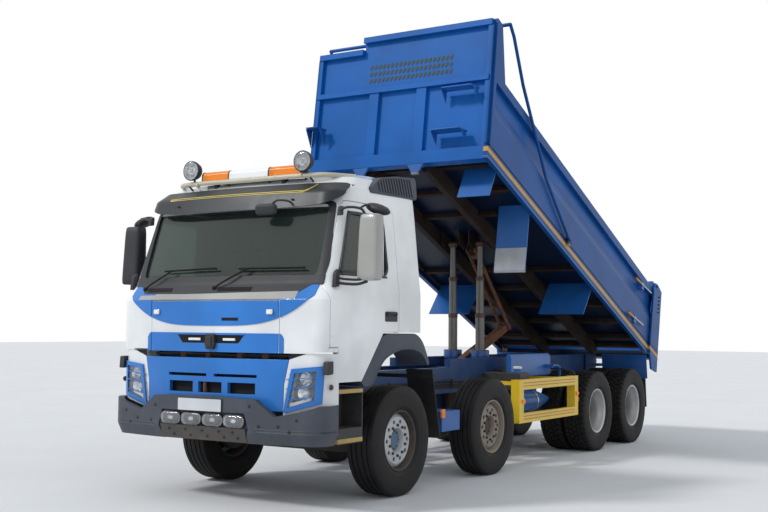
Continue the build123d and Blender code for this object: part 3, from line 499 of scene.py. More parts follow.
def paint(name, colour, rough=0.28, gloss=0.35, dirt=0.35, low=0.5, high=1.9, metal=0.0, dust=ROAD_DUST,
          bands=None, shine=0.4):
    """Sprayed paint: a slow drift of tone, road dirt low down, runs of grime and a faint orange peel."""
    material, place = begin(name)
    tone = place.noise(1.1, 3.0)
    pale = tuple(min(1.0, c * 1.12 + 0.01) for c in colour)
    deep = tuple(c * 0.86 for c in colour)
    base = tone.rises(0.3, 0.7).mixed(deep, pale)
    if bands:
        base = bands(place, base)
    dirty = road_dirt(place, dirt, low, high)
    runs = place.noise(5.0, 4.0, 0.6, stretch=(1.0, 1.0, 0.12)).rises(0.56, 0.78) * (0.30 * min(1.0, dirt * 1.5))
    grime = (dirty + runs).held()
    peel = place.noise(140.0, 2.0) * 0.4 + grime * 0.8
    return set_surface(material, Base_Color=grime.mixed(base, dust), Roughness=(grime * 0.5 + rough).held(),
                       Metallic=metal, Coat_Weight=(1 - grime) * gloss, Coat_Roughness=0.08,
                       Specular_IOR_Level=shine, Normal=peel.bump(0.0006, 0.35))


def plastic(name, colour, rough=0.5, grain=260.0, dirt=0.3, high=1.9, bands=None):
    """Moulded plastic: a fine grain, paler where it has weathered, and road dirt."""
    material, place = begin(name)
    worn = place.noise(3.0, 5.0, 0.6).rises(0.35, 0.75)
    grey = tuple(c * 1.5 + 0.012 for c in colour)
    dirty = road_dirt(place, dirt, 0.4, high)
    leather = place.node("TexVoronoi", {"feature": "F1"}, {"Vector": place, "Scale": grain})
    base = (worn * 0.6).mixed(colour, grey)
    if bands:
        base = bands(place, base)
    return set_surface(material, Base_Color=dirty.mixed(base, ROAD_DUST), Specular_IOR_Level=0.35,
                       Roughness=(worn * 0.12 + dirty * 0.3 + rough).held(), Normal=leather.bump(0.0004, 0.4))


def bare_metal(name, colour, rough=0.3, rust=0.0, dirt=0.2, metal=1.0):
    """Metal with turning marks, rust that spreads from patches, and dirt."""
    material, place = begin(name)
    patch = place.noise(6.0, 6.0, 0.7)
    rusty = (patch.rises(0.62 - 0.35 * rust, 0.80 - 0.3 * rust) * min(1.0, rust * 1.6)).held()
    marks = place.noise(30.0, 3.0, 0.5, stretch=(1.0, 1.0, 8.0))
    dirty = road_dirt(place, dirt, 0.3, 2.2)
    metal_colour = marks.rises(0.3, 0.7).mixed(tuple(c * 0.8 for c in colour), colour)
    brown = place.noise(35.0, 4.0).rises(0.3, 0.7).mixed(RUST, (0.26, 0.11, 0.05))
    return set_surface(material, Base_Color=dirty.mixed(rusty.mixed(metal_colour, brown), ROAD_DUST),
                       Metallic=((1 - rusty) * (1 - dirty) * metal).held(),
                       Roughness=(rusty * 0.45 + dirty * 0.4 + marks * 0.1 + rough).held(),
                       Normal=(patch + rusty).bump(0.0012, 0.4))


def glass(name, tint, rough=0.02, see=0.75):
    """Tinted glass: mostly clear, so that what lies behind it shows, with a glossy face."""
    material, place = begin(name)
    film = place.noise(4.0, 3.0).rises(0.4, 0.8) * 0.04
    return set_surface(material, Base_Color=tint, Roughness=film + rough, Transmission_Weight=see,
                       IOR=1.45, Specular_IOR_Level=0.22)


def lens(name, colour, see=0.9, rough=0.05, glow=0.0):
    """A moulded lens: coloured clear plastic with fine upright flutes."""
    material, place = begin(name)
    flutes = place.node("TexWave", {"wave_type": "BANDS", "bands_direction": "X"},
                        {"Vector": place, "Scale": 18.0, "Distortion": 0.0})
    return set_surface(material, Base_Color=colour, Roughness=rough, Transmission_Weight=see, IOR=1.4,
                       Emission_Color=colour, Emission_Strength=glow, Normal=flutes.bump(0.002, 0.35))


def cab_lining(place, base):
    """Dark trim on the inner faces of the cab's walls and doors, which lie a wall's thickness inside its form."""
    x, y, z = abs(place.part("X")), place.part("Y"), place.part("Z")
    wall, side_lean, front_lean, front_depth = 0.012, 0.105, 0.33, 0.255
    floor, ceiling, back = 1.44, 2.96, 0.228 + FIRST_AXLE
    raised = z - CAB_Z[2]
    half = CAB_HALF[0] - 0.004 - raised.maths("MAXIMUM", raised, 0.0) * side_lean
    front = (z - CAB_Z[4]) * front_lean + (CAB_FRONT[4] + FIRST_AXLE + front_depth)
    inside = x.maths("LESS_THAN", x, half - wall) * y.maths("GREATER_THAN", y, front)
    inside = inside * y.maths("LESS_THAN", y, back) * z.maths("LESS_THAN", z, ceiling)
    inside = inside * z.maths("GREATER_THAN", z, floor)
    return inside.mixed(base, (0.012, 0.012, 0.013))


def wing_and_flap(place, base):
    """Painted steel down to a line above the rear wheels' flaps, black rubber below it and in front."""
    steel = place.part("Y").rises(0.5, 0.6) * place.part("Z").rises(0.909, 0.913)
    return steel.mixed(base, (0.016, 0.11, 0.36))


BODY_SLOPE = (0.0, sin(TIP), cos(TIP))
BODY_LEVEL = sin(TIP) * (HINGE[0] + FIRST_AXLE) + cos(TIP) * HINGE[1] - HINGE[1] + RAIL_BOTTOM
BODY_START = (HINGE[0] + FIRST_AXLE) * cos(TIP) - HINGE[1] * sin(TIP) - HINGE[0]


def body_bands(place, base):
    """Lines along the lower rail of the body's sides: a yellow stripe, painted shade in the groove over it and a
    painted highlight on its lower edge; also painted shade on the sides' outer faces and under the body.
    """
    up = place.along(BODY_SLOPE) - BODY_LEVEL
    outside = abs(place.part("X")).rises(1.18, 1.20)
    scuffed = place.noise(14.0, 4.0, 0.7).rises(0.40, 0.60)
    yellow = up.between(0.066, 0.116) * outside * (scuffed * 0.2 + 0.8)
    # Painted shade: a dark line over the stripe stands for the shadow in the groove there.
    dark = up.between(0.138, 0.170) * outside * 0.85
    # Painted highlight: a pale line along the rail's lower edge, where it catches the light.
    pale = up.between(0.004, 0.014) * outside * 0.5
    back = place.along((0.0, cos(TIP), -sin(TIP))) - BODY_START
    # Painted shade: the floor's underside and the rails' inner faces below the stripe are nearly black, where shadow
    # falls under the body.
    under = (1 - up.rises(0.117, 0.121)) * (1 - outside) * back.rises(1.27, 1.29)
    # Painted shade: the outer faces of the sides are darkened towards deep navy, as they lie in shadow.
    base = (outside * 0.45).mixed(base, (0.003, 0.030, 0.125))
    base = under.mixed(base, (0.003, 0.010, 0.032))
    base = dark.mixed(base, (0.004, 0.012, 0.040))
    base = pale.mixed(base, (0.20, 0.36, 0.56))
    return yellow.mixed(base, (0.66, 0.36, 0.045))


def scuffed_blue(name, colour):
    """The body's enamel: bright blue with long rubbed marks, chips at random and dust from loads."""
    material, place = begin(name)
    tone = place.noise(0.8, 4.0).rises(0.3, 0.7)
    base = tone.mixed(tuple(c * 0.82 for c in colour), tuple(c * 1.15 for c in colour))
    base = body_bands(place, base)
    rubs = place.noise(9.0, 6.0, 0.7, stretch=(1.0, 0.25, 1.0)).rises(0.62, 0.74) * 0.30
    chips = place.noise(55.0, 3.0, 0.7).rises(0.70, 0.74) * 0.6
    base = rubs.mixed(base, (0.06, 0.20, 0.42))
    base = chips.mixed(base, (0.05, 0.04, 0.04))
    dirty = road_dirt(place, 0.2, 1.0, 3.6) * 0.6
    ripple = place.noise(2.6, 2.0) * 0.9 + rubs * 0.4
    return set_surface(material, Base_Color=dirty.mixed(base, (0.07, 0.08, 0.10)),
                       Roughness=(rubs * 0.5 + dirty * 0.5 + 0.36).held(), Specular_IOR_Level=0.16,
                       Normal=ripple.bump(0.004, 0.35))


def tyre_rubber(name):
    """Black rubber gone grey: dust lies in the tread and fans over the sidewall."""
    material, place = begin(name)
    dusty = place.noise(7.0, 5.0, 0.65).rises(0.35, 0.75)
    fine = place.noise(90.0, 3.0, 0.6)
    return set_surface(material, Base_Color=(dusty * 0.30).mixed((0.006, 0.006, 0.007), (0.055, 0.049, 0.045)),
                       Roughness=(dusty * 0.2 + 0.62).held(), Specular_IOR_Level=0.3,
                       Normal=(fine + dusty).bump(0.0012, 0.5))


def cloth(name, colour):
    """Woven seat cloth: two crossed waves of thread and a soft mottling."""
    material, place = begin(name)
    warp = place.node("TexWave", {"bands_direction": "X"}, {"Vector": place, "Scale": 160.0})
    weft = place.node("TexWave", {"bands_direction": "Z"}, {"Vector": place, "Scale": 160.0})
    weave = warp * weft
    mottle = place.noise(20.0, 4.0)
    base = (weave * 0.5 + mottle * 0.4).held().mixed(colour, tuple(c * 2.2 + 0.01 for c in colour))
    return set_surface(material, Base_Color=base, Roughness=0.85, Sheen_Weight=0.2, Normal=weave.bump(0.0015, 0.6))


BLUE = (0.014, 0.185, 0.60)
WHITE = (0.82, 0.83, 0.84)
white_paint = paint("white_paint", WHITE, 0.22, 0.5, 0.07, 0.9, 2.2, bands=cab_lining)
blue_paint = paint("blue_paint", BLUE, 0.28, 0.3, 0.10, 0.8, 1.6, shine=0.3)
deep_blue = paint("deep_blue", (0.010, 0.075, 0.27), 0.30, 0.3, 0.12, 0.8, 1.6, shine=0.3)
chassis_blue = paint("chassis_blue", (0.008, 0.050, 0.165), 0.42, 0.05, 0.45, 0.5, 1.4, shine=0.25)
body_blue = scuffed_blue("body_blue", (0.006, 0.115, 0.42))
wing_blue = paint("wing_blue", (0.008, 0.115, 0.40), 0.34, 0.12, 0.18, 0.9, 2.4, shine=0.3)
guard_yellow = paint("guard_yellow", (0.86, 0.58, 0.020), 0.34, 0.3, 0.15, 0.3, 1.2)
orange_line = paint("orange_line", (0.55, 0.20, 0.02), 0.4, 0.2, 0.2)
brown_steel = paint("brown_steel", (0.022, 0.011, 0.009), 0.7, 0.0, 0.35, 0.6, 2.2, shine=0.2)
rust_steel = bare_metal("rust_steel", (0.12, 0.07, 0.05), 0.6, 0.75, 0.3, 0.3)
grey_plastic = plastic("grey_plastic", (0.050, 0.058, 0.078), 0.50, 320.0, 0.22, 1.2)
skid_steel = bare_metal("skid_steel", (0.085, 0.080, 0.076), 0.6, 0.06, 0.3, 0.3)
dark_plastic = plastic("dark_plastic", (0.022, 0.023, 0.028), 0.48, 320.0, 0.20, 1.8)
visor_smoke = plastic("visor_smoke", (0.012, 0.016, 0.021), 0.36, 500.0, 0.03)
inside_plastic = plastic("inside_plastic", (0.012, 0.012, 0.013), 0.6, 300.0, 0.05)
black_gap = plastic("black_gap", (0.004, 0.004, 0.005), 0.8, 120.0, 0.05)
black_rubber = plastic("black_rubber", (0.010, 0.010, 0.011), 0.7, 80.0, 0.30, 1.4)
wing_rubber = plastic("wing_rubber", (0.010, 0.010, 0.011), 0.6, 80.0, 0.25, 1.2, wing_and_flap)
pale_rubber = plastic("pale_rubber", (0.42, 0.43, 0.45), 0.6, 60.0, 0.18, 1.6)
grey_rubber = plastic("grey_rubber", (0.20, 0.205, 0.22), 0.75, 60.0, 0.25, 2.6)
axle_iron = bare_metal("axle_iron", (0.045, 0.042, 0.04), 0.6, 0.25, 0.5, 0.4)
engine_iron = bare_metal("engine_iron", (0.022, 0.022, 0.023), 0.6, 0.15, 0.25, 0.2)
chrome = bare_metal("chrome", (0.83, 0.84, 0.86), 0.07, 0.0, 0.05)
mirror_shell_grey = paint("mirror_shell_grey", (0.40, 0.40, 0.37), 0.34, 0.2, 0.15, 0.9, 2.0)
dull_chrome = bare_metal("dull_chrome", (0.60, 0.60, 0.57), 0.22, 0.12, 0.25)
ram_steel = bare_metal("ram_steel", (0.15, 0.148, 0.142), 0.30, 0.14, 0.2, 0.7)
ram_brown = paint("ram_brown", (0.090, 0.036, 0.026), 0.5, 0.1, 0.4, 0.5, 2.0)
rim_white = paint("rim_white", (0.50, 0.51, 0.53), 0.38, 0.15, 0.25, 0.2, 1.0)
rim_beige = paint("rim_beige", (0.26, 0.215, 0.175), 0.55, 0.05, 0.55, 0.2, 1.2)
rim_silver = paint("rim_silver", (0.52, 0.52, 0.52), 0.32, 0.2, 0.25, 0.2, 1.0, metal=0.35)
rim_rust = bare_metal("rim_rust", (0.050, 0.040, 0.034), 0.6, 0.25, 0.4, 0.3)
hub_blue = paint("hub_blue", (0.05, 0.13, 0.24), 0.5, 0.1, 0.6, 0.2, 1.0)
nut_dark = bare_metal("nut_dark", (0.03, 0.03, 0.035), 0.4, 0.1, 0.15, 0.6)
rubber = tyre_rubber("tyre_rubber")
clear_glass = glass("clear_glass", (0.16, 0.22, 0.195), 0.01, 0.86)
lamp_bright = paint("lamp_bright", (0.90, 0.91, 0.92), 0.10, 0.2, 0.02, metal=0.6)
lamp_glass = lens("lamp_glass", (0.92, 0.94, 0.96), 0.92, 0.03)
amber_lens = lens("amber_lens", (0.92, 0.27, 0.02), 0.35, 0.12, 0.12)
white_lens = lens("white_lens", (0.92, 0.93, 0.94), 0.15, 0.25, 0.10)
seat_cloth = cloth("seat_cloth", (0.022, 0.024, 0.030))
plate_white = paint("plate_white", (0.66, 0.67, 0.70), 0.30, 0.3, 0.10)
visor_yellow = paint("visor_yellow", (0.80, 0.60, 0.06), 0.35, 0.2, 0.05)
ivory_rail = paint("ivory_rail", (0.62, 0.57, 0.45), 0.38, 0.15, 0.35, 2.9, 3.4, dust=(0.22, 0.17, 0.11))
ivory_grey = paint("ivory_grey", (0.40, 0.40, 0.38), 0.4, 0.2, 0.3, 1.0, 2.2)
step_yellow = paint("step_yellow", (0.52, 0.36, 0.09), 0.5, 0.1, 0.6, 0.3, 1.6)
slot_shadow = plastic("slot_shadow", (0.045, 0.060, 0.030), 0.6, 40.0, 0.0)
spring_iron = bare_metal("spring_iron", (0.04, 0.04, 0.04), 0.6, 0.3, 0.4, 0.4)

NODE_FINISH = {
    "cab_paint": white_paint, "front_paint": white_paint, "body_paint": body_blue, "underframe": brown_steel,
    "frame_paint": chassis_blue, "bumper_grey": grey_plastic, "trim_grey": dark_plastic, "flap_rubber": wing_rubber,
    "interior": inside_plastic, "seat_fabric": seat_cloth, "glass": clear_glass, "axle_iron": axle_iron,
    "engine_iron": engine_iron, "lamp": lamp_glass, "spring_steel": spring_iron, "light_bar": dark_plastic,
    "mirror_shell": dull_chrome, "ram_barrel": ram_brown, "ram_chrome": ram_steel, "rim_grey": rim_white,
    "rim_silver": rim_silver, "guard_yellow": guard_yellow, "rust_steel": rust_steel, "visor_plastic": visor_smoke,
    "tyre": rubber,
}
NODE_OWN = {"lower_grille": blue_paint, "lamp_guards": blue_paint, "body_wings": wing_blue, "rim_2_left": rim_beige,
            "rim_2_right": rim_beige}
for part in frame["record"]["subparts"]:
    node = frame["nodes"][part["node"]]
    finish = NODE_OWN.get(part["node"], NODE_FINISH[part["material_slot"]])
    node.data.materials.clear()
    node.data.materials.append(finish)


# Wheels

TREAD_HALF = 0.134
SHOULDER = np.array([  # across, radius: from the tread's edge down the sidewall to the bead
    (0.1365, 0.5330), (0.1440, 0.5240), (0.1490, 0.5060), (0.1525, 0.4860), (0.1560, 0.4560), (0.1572, 0.4250),
    (0.1566, 0.4210), (0.1570, 0.4180), (0.1545, 0.3800), (0.1500, 0.3520), (0.1505, 0.3490), (0.1440, 0.3260),
    (0.1320, 0.3080), (0.1240, 0.2980), (0.1170, 0.2900), (0.1160, 0.2865)])


def tyre(grooves, blocks, cut, lean, cut_share, ribs_cut, side_share):
    """A tyre about the X axis. One parameter runs round it and one across its section. The radius is the
    crown's parabola less the depth of the grooves, which run round it, and of the cuts across its blocks."""
    edge, crown_drop = 0.0022, 0.004
    fade_low, fade = 0.492, 0.03               # radii between which the cuts run out down the sidewall
    across, sunk, rib, number = [-TREAD_HALF], [0.0], [1.0], [0]
    for k, (middle, width) in enumerate(grooves):
        across += [middle - width / 2 - edge, middle - width / 2, middle + width / 2, middle + width / 2 + edge]
        sunk += [0.0, 1.0, 1.0, 0.0]
        rib += [ribs_cut, 0.0, 0.0, ribs_cut]
        number += [k, k, k + 1, k + 1]
    across, sunk = np.array(across + [TREAD_HALF]), np.array(sunk + [0.0])
    rib, number = np.array(rib + [1.0]), np.array(number + [len(grooves)])
    rib[0] = rib[-1] = rib[1] = rib[-2] = side_share
    crown = TYRE_R - crown_drop * (across / TREAD_HALF) ** 2
    side_cut = np.clip((SHOULDER[:, 1] - fade_low) / fade, 0, 1) * side_share
    x = np.concatenate([-SHOULDER[::-1, 0], across, SHOULDER[:, 0]])
    radius = np.concatenate([SHOULDER[::-1, 1], crown, SHOULDER[:, 1]])
    sunk = np.concatenate([0 * SHOULDER[:, 0], sunk, 0 * SHOULDER[:, 0]])
    rib = np.concatenate([side_cut[::-1], rib, side_cut])
    number = np.concatenate([np.zeros(len(SHOULDER)), number, np.full(len(SHOULDER), len(grooves))])
    phase = np.array([0.0, 1 - cut_share, 1 - cut_share * 0.82, 1 - cut_share * 0.18])
    deep = np.array([0.0, 0.0, 1.0, 1.0])
    turn = ((np.arange(blocks)[:, None] + phase[None]) / blocks * 2 * pi).reshape(-1)
    deep = np.tile(deep, blocks)
    shifted = turn[:, None] + (number % 2 * 0.5 + np.abs(x) / TREAD_HALF * lean)[None] * 2 * pi / blocks
    r = radius[None] - cut * np.maximum(sunk[None], deep[:, None] * rib[None])
    points = np.stack([x[None] + 0 * r, r * np.cos(shifted), r * np.sin(shifted)], -1)
    return skin(points, round_rows=True, round_cols=True)


STEER_TREAD = tyre([(-0.088, 0.010), (-0.031, 0.011), (0.031, 0.011), (0.088, 0.010)], 54, 0.012, 0.0, 0.16,
                   0.0, 0.0)
DRIVE_TREAD = tyre([(-0.082, 0.012), (-0.028, 0.009), (0.028, 0.009), (0.082, 0.012)], 44, 0.015, 0.5, 0.24,
                   1.0, 1.0)

# The flanges of a wheel's barrel, which both kinds share: (along, radius)
FLANGES = [(-0.130, 0.297), (-0.119, 0.297), (-0.117, 0.285), (0.117, 0.285), (0.119, 0.297), (0.130, 0.2975),
           (0.132, 0.290)]


def holed_disc(inner, outer, holes, hole_r, hole_at, depth):
    """A disc about X with round holes: each sector goes from its hole's circle out to the sector's edge."""
    half = pi / holes
    t = np.linspace(0, 1, 33)[:-1]
    side = np.array([(-half, inner), (half, inner), (half, outer), (-half, outer), (-half, inner)])
    edge = np.stack([np.interp(t * 4, np.arange(5), side[:, k]) for k in (0, 1)], -1)
    flat = np.stack([edge[:, 1] * np.cos(edge[:, 0]), edge[:, 1] * np.sin(edge[:, 0])], -1)
    away = flat - (hole_at, 0)
    ring = hole_r * away / np.linalg.norm(away, axis=1)[:, None] + (hole_at, 0)
    s = np.array([0.0, 0.25, 1.0])[:, None, None]
    sheet = ring[None] * (1 - s) + flat[None] * s
    grid = np.concatenate([np.zeros((3, 32, 1)), sheet], -1)
    wall = grid[:1] - (depth, 0, 0)
    return joined(skin(np.concatenate([wall, grid]), round_cols=True).turned(k * 2 * half, "X")
                  for k in range(holes))


def steer_rim():
    """Front wheel: flanged barrel, a shallow shoulder and a broad flat disc with ten round holes, nuts and a hub."""
    barrel = FLANGES + [(0.124, 0.278), (0.104, 0.271), (0.070, 0.262), (0.018, 0.256), (0.0, 0.262),
                        (-0.110, 0.270), (-0.128, 0.286)]
    dish = [(0.040, 0.266), (0.062, 0.262), (0.082, 0.244), (0.092, 0.228), (0.094, 0.226), (0.080, 0.224),
            (0.068, 0.240), (0.044, 0.252)]
    face = holed_disc(0.122, 0.227, 10, 0.0215, 0.186, 0.014).moved(0.094)
    bore = [(0.094, 0.122), (0.086, 0.116), (-0.010, 0.108), (-0.020, 0.108), (-0.020, 0.122), (0.070, 0.129),
            (0.080, 0.134)]
    cap = [(0.000, 0.108), (0.036, 0.104), (0.050, 0.094), (0.054, 0.080), (0.060, 0.076), (0.062, 0.0), (0.0, 0.0)]
    back = [(0.080, 0.227), (0.080, 0.119), (0.076, 0.119), (0.076, 0.227)]
    nuts = round_copies(nut(0.0145, 0.020).moved(0.094, 0.1475), 10, pi / 10)
    studs = round_copies(nut(0.008, 0.010).moved(0.050, 0.090), 8)
    return (turned_parts((barrel, 72, True, 1), (dish, 60, True, 0)) + face
            + turned_parts((bore, 48, True, 0), (cap, 36, False, 2), (back, 40, True, 3))
            + nuts.finished(3) + studs.finished(3))


def drive_rim():
    """Twin rear wheels: two deep barrels back to back, the outer one dished far in, with the hub end and nuts."""
    barrel = FLANGES + [(0.122, 0.274), (0.098, 0.267), (0.060, 0.262), (0.035, 0.250), (-0.020, 0.250),
                        (-0.060, 0.258), (-0.110, 0.268), (-0.128, 0.284)]
    dish = [(-0.118, 0.262), (-0.135, 0.240), (-0.158, 0.205), (-0.160, 0.118), (-0.172, 0.118), (-0.170, 0.208),
            (-0.146, 0.245), (-0.130, 0.266)]
    hub = [(-0.172, 0.112), (-0.060, 0.108), (-0.040, 0.100), (-0.036, 0.088), (-0.020, 0.084), (0.020, 0.080),
           (0.028, 0.070), (0.030, 0.0), (-0.172, 0.0)]
    nuts = round_copies(nut(0.0165, 0.034).moved(-0.160, 0.1675), 10)
    studs = round_copies(nut(0.009, 0.014).moved(-0.036, 0.094), 10)
    outer = turned_parts((barrel, 72, True, 0), (dish, 60, True, 0), (hub, 40, False, 1))
    inner = turned_parts((barrel, 60, True, 1), (dish, 40, True, 1)).turned(pi, "Z").moved(-TWIN_PITCH)
    return outer + nuts.finished(2) + studs.finished(2) + inner


def make_wheels():
    """Rim and tyre of each front wheel, and of each pair of rear wheels as one piece; no two treads line up."""
    for axle, y in AXLE_Y.items():
        if axle < 3:
            many, slot, place = "", "rim_grey", (STEER_WHEEL_X, y, TYRE_R)
            looks = [rim_white, rim_rust, hub_blue, nut_dark] if axle == 1 else [rim_beige, rim_beige, rim_rust,
                                                                                 nut_dark]
            rim, tread = steer_rim().moved(*place), STEER_TREAD.turned(0.11 * axle, "X").moved(*place)
        else:
            many, slot, place = "s", "rim_silver", (OUTER_WHEEL_X, y, TYRE_R)
            looks = [rim_silver, axle_iron, nut_dark]
            rim = drive_rim().moved(*place)
            tread = (DRIVE_TREAD.turned(0.07 * axle, "X").moved(*place)
                     + DRIVE_TREAD.turned(0.19 * axle, "X").moved(*place).moved(-TWIN_PITCH))
        body = f"wheel{many}_{axle}_{{}}"
        rims = show_pair(f"wheel_rim{many}_{axle}", rim, body, looks, slot)
        treads = show_pair(f"tyre_tread{many}_{axle}", tread, body, rubber, "tyre", sharp=30)
        for side, rim, ring in zip(SIDES, rims, treads):
            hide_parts(f"rim{many}_{axle}_{side}")
            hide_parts(f"tyre{many}_{axle}_{side}")


# Front of the cab

HATCH_HALF, PANEL_HALF = 0.765, 0.82


def bonnet_edge(x):
    """Lower edge of the blue bonnet: level in the middle, rising steeply to the corners."""
    return 1.637 + 0.195 * np.abs(x) ** 3.6


def bonnet_top(x):
    """Upper edge of the bonnet's corners: under the pale strip, then up over its end."""
    return 1.938 + 0.074 * np.clip((np.abs(x) - 0.93) / 0.10, 0, 1)


def front_sheet(x_low, x_high, low, high, out, depth, cols=24, rows=8):
    """A curved panel on the cab's front between two x values; low and high give its edges at each x."""
    x = np.linspace(x_low, x_high, cols)[:, None]
    v = np.linspace(0, 1, rows)[None]
    bottom = low(x) if callable(low) else low + 0 * x
    top = high(x) if callable(high) else high + 0 * x
    z = bottom + (top - bottom) * v
    x = x + 0 * z
    return thick(np.stack([x, cab_face(x, z, out), z], -1), (0, depth, 0))


def make_bonnet():
    """The blue bonnet in three panels with open seams, its slot and marker lamps, the inlet lip and the cowl."""
    middle = front_sheet(-HATCH_HALF, HATCH_HALF, bonnet_edge, 1.866, 0.009, 0.012, 40)
    show("bonnet_panel", middle, "hatch", blue_paint, "front_paint", bevel=0.003)
    wing = front_sheet(HATCH_HALF + 0.012, 1.106, bonnet_edge, bonnet_top, 0.012, 0.015, 60, 14)
    show("bonnet_corners", both(wing), "cab", blue_paint, "front_paint", bevel=0.003)
    lip = front_sheet(-0.975, 0.930, 1.880, lambda x: 1.938 + 0.016 * x, 0.016, 0.016, 40, 3)
    show("air_inlet_lip", lip, "cab", ivory_grey, "cab_paint", bevel=0.004)
    cowl = front_sheet(-1.135, 1.135, lambda x: bonnet_top(x) + 0.002, 2.100, 0.013, 0.014, 60, 8)
    show("windscreen_cowl", cowl, "cab", dark_plastic, "trim_grey", bevel=0.003)
    wells = [front_sheet(-0.90, -0.56, 1.958, 1.994, 0.018, 0.006, 14, 3),
             front_sheet(0.03, 0.42, 1.958, 1.994, 0.018, 0.006, 14, 3)]
    show("cowl_grilles", joined(wells), "cab", black_gap, "trim_grey", bevel=0.002)
    slot = front_sheet(0.14, 0.33, 1.684, 1.712, 0.0105, 0.004, 8, 2)
    show("bonnet_slot", slot, "hatch", black_gap, "trim_grey")
    lamps = []
    for x in (-0.683, 0.683):
        outline, middle = rounded(x - 0.036, x + 0.036, 1.742, 1.788, 0.012), (x, 1.765)
        face = float(cab_face(*middle))
        lamps.append(slab(outline, face - 0.030, face - 0.006))
        lamps.append(slab((outline - middle) * 0.7 + middle, face - 0.035, face - 0.026, finish=1))
    show("bonnet_marker_lamps", joined(lamps), "hatch", [chrome, white_lens], "lamp", bevel=0.003)


def make_lower_panel():
    """The blue lower panel of the cab with its dark slatted recess, two marker lights and the middle bracket."""
    low, high, corner = 1.395, 1.572, 0.045
    def top(x):
        """Upper edge: level, then falling as a parabola over the last corner's width."""
        return high - np.maximum(0, np.abs(x) - (PANEL_HALF - corner)) ** 2 / corner
    middle = front_sheet(-HATCH_HALF, HATCH_HALF, low, top, 0.008, 0.011, 40, 6)
    show("lower_panel", middle, "hatch", blue_paint, "front_paint", bevel=0.003)
    ends = front_sheet(HATCH_HALF + 0.010, PANEL_HALF, low, top, 0.008, 0.011, 6, 6)
    show("lower_panel_ends", both(ends), "cab", blue_paint, "front_paint", bevel=0.003)
    foot, head, half, flare = 1.478, 1.552, 0.335, 0.065
    z = np.linspace(foot, head, 4)[None]
    x = np.linspace(-1, 1, 24)[:, None] * (half + (z - foot) / (head - foot) * flare)
    z = z + 0 * x
    recess = thick(np.stack([x, cab_face(x, z, 0.0095), z], -1), (0, 0.010, 0))
    bars = joined(front_sheet(-0.355, 0.355, h, h + 0.005, 0.0135, 0.006, 24, 2) for h in (1.496, 1.516, 1.536))
    show("recess_grille", recess + bars, "hatch", black_gap, "trim_grey")
    rim = front_sheet(-0.41, 0.41, 1.553, 1.561, 0.016, 0.010, 24, 2)
    show("recess_lip", rim, "hatch", blue_paint, "front_paint", bevel=0.002)
    lights = [front_sheet(a, b, 1.501, 1.524, 0.022, 0.014, 6, 3) for a, b in ((-0.252, -0.103), (0.168, 0.305))]
    show("marker_lights", joined(lights), "hatch", white_lens, "lamp", bevel=0.004)
    face = float(cab_face(0.02, 1.48))
    outline = softened([(-0.030, 1.562), (0.075, 1.562), (0.082, 1.470), (0.064, 1.420), (-0.020, 1.420),
                        (-0.036, 1.470)], 0.012)
    bracket = slab(outline, face - 0.040, face - 0.004)
    bracket = bracket + box((-0.008, 0.052), (face - 0.050, face - 0.036), (1.44, 1.54))
    show("middle_bracket", bracket, "hatch", dark_plastic, "trim_grey", bevel=0.006)


def make_wipers():
    """Two wipers parked towards +X: a jointed arm from the cowl and a thin blade that hugs the glass."""
    for number, (pivot, elbow, start, end) in enumerate((
            ((-0.96, 1.985), (-0.62, 2.165), (-0.74, 2.16), (-0.06, 2.175)),
            ((-0.02, 1.985), (0.32, 2.165), (0.22, 2.165), (0.93, 2.165)))):
        def on_glass(x, z, out):
            """A point so far in front of the windscreen."""
            return (x, float(cab_face(x, z)) - out, z)
        arm = tube([on_glass(*pivot, 0.020), on_glass(pivot[0] + 0.10, pivot[1] + 0.055, 0.055),
                    on_glass(*elbow, 0.040)], 0.009, steps=8, sides=8)
        x = np.linspace(start[0], end[0], 22)
        z = np.linspace(start[1], end[1], 22)
        path = np.stack([x, cab_face(x, z, 0.022), z], -1)
        blade = carried([(-0.005, -0.010), (0.005, -0.010), (0.009, 0.004), (0.0, 0.014), (-0.009, 0.004)], path,
                        (0, -1, 0.3))
        shaft = spun([(0, 0.0), (0, 0.024), (0.016, 0.022), (0.026, 0.014), (0.026, 0)], ORIGIN, "y", 20)
        shaft = shaft.turned(pi, "X").moved(*on_glass(*pivot, 0.006))
        show(f"wiper_{number + 1}", arm + blade + shaft, "cab", black_gap, "trim_grey", sharp=40)


def make_screen_frame():
    """Black surround of the windscreen: a strip between the glass's outline and a wider one, on the cab's face."""
    wide = [(-1.120, 2.030), (1.120, 2.030), (1.146, 2.210), (1.112, 2.510), (1.090, 2.790), (-1.090, 2.790),
            (-1.112, 2.510), (-1.146, 2.210)]
    narrow = [(-1.050, 2.098), (1.050, 2.098), (1.056, 2.210), (1.046, 2.510), (1.036, 2.760), (-1.036, 2.760),
              (-1.046, 2.510), (-1.056, 2.210)]
    outer, inner = (even_points(softened(line, radius, 6), 170, True)
                    for line, radius in ((wide, 0.06), (narrow, 0.05)))
    across = np.linspace(0, 1, 5)[None, :, None]
    grid = outer[:, None] * (1 - across) + inner[:, None] * across
    front = np.stack([grid[..., 0], cab_face(grid[..., 0], grid[..., 1], 0.007), grid[..., 1]], -1)
    back = front + (0, 0.016, 0)
    loop = np.concatenate([front, back[:, ::-1]], 1)
    show("windscreen_surround", skin(loop, round_rows=True, round_cols=True), "cab", dark_plastic, "trim_grey")


VISOR_Z = np.array([2.690, 2.880, 2.975])
VISOR_PLAN = np.array([(-1.252, -1.186, -1.052), (1.200, 1.185, 1.145), (0.215, 0.225, 0.235), (0.082, 0.080, 0.072)])


def visor_point(s, z, out=0.0):
    """Point on the visor at s along its plan, whose front, width, corner and sweep change with height."""
    return plan_point(s, z, *(np.interp(z, VISOR_Z, row) for row in VISOR_PLAN), out)


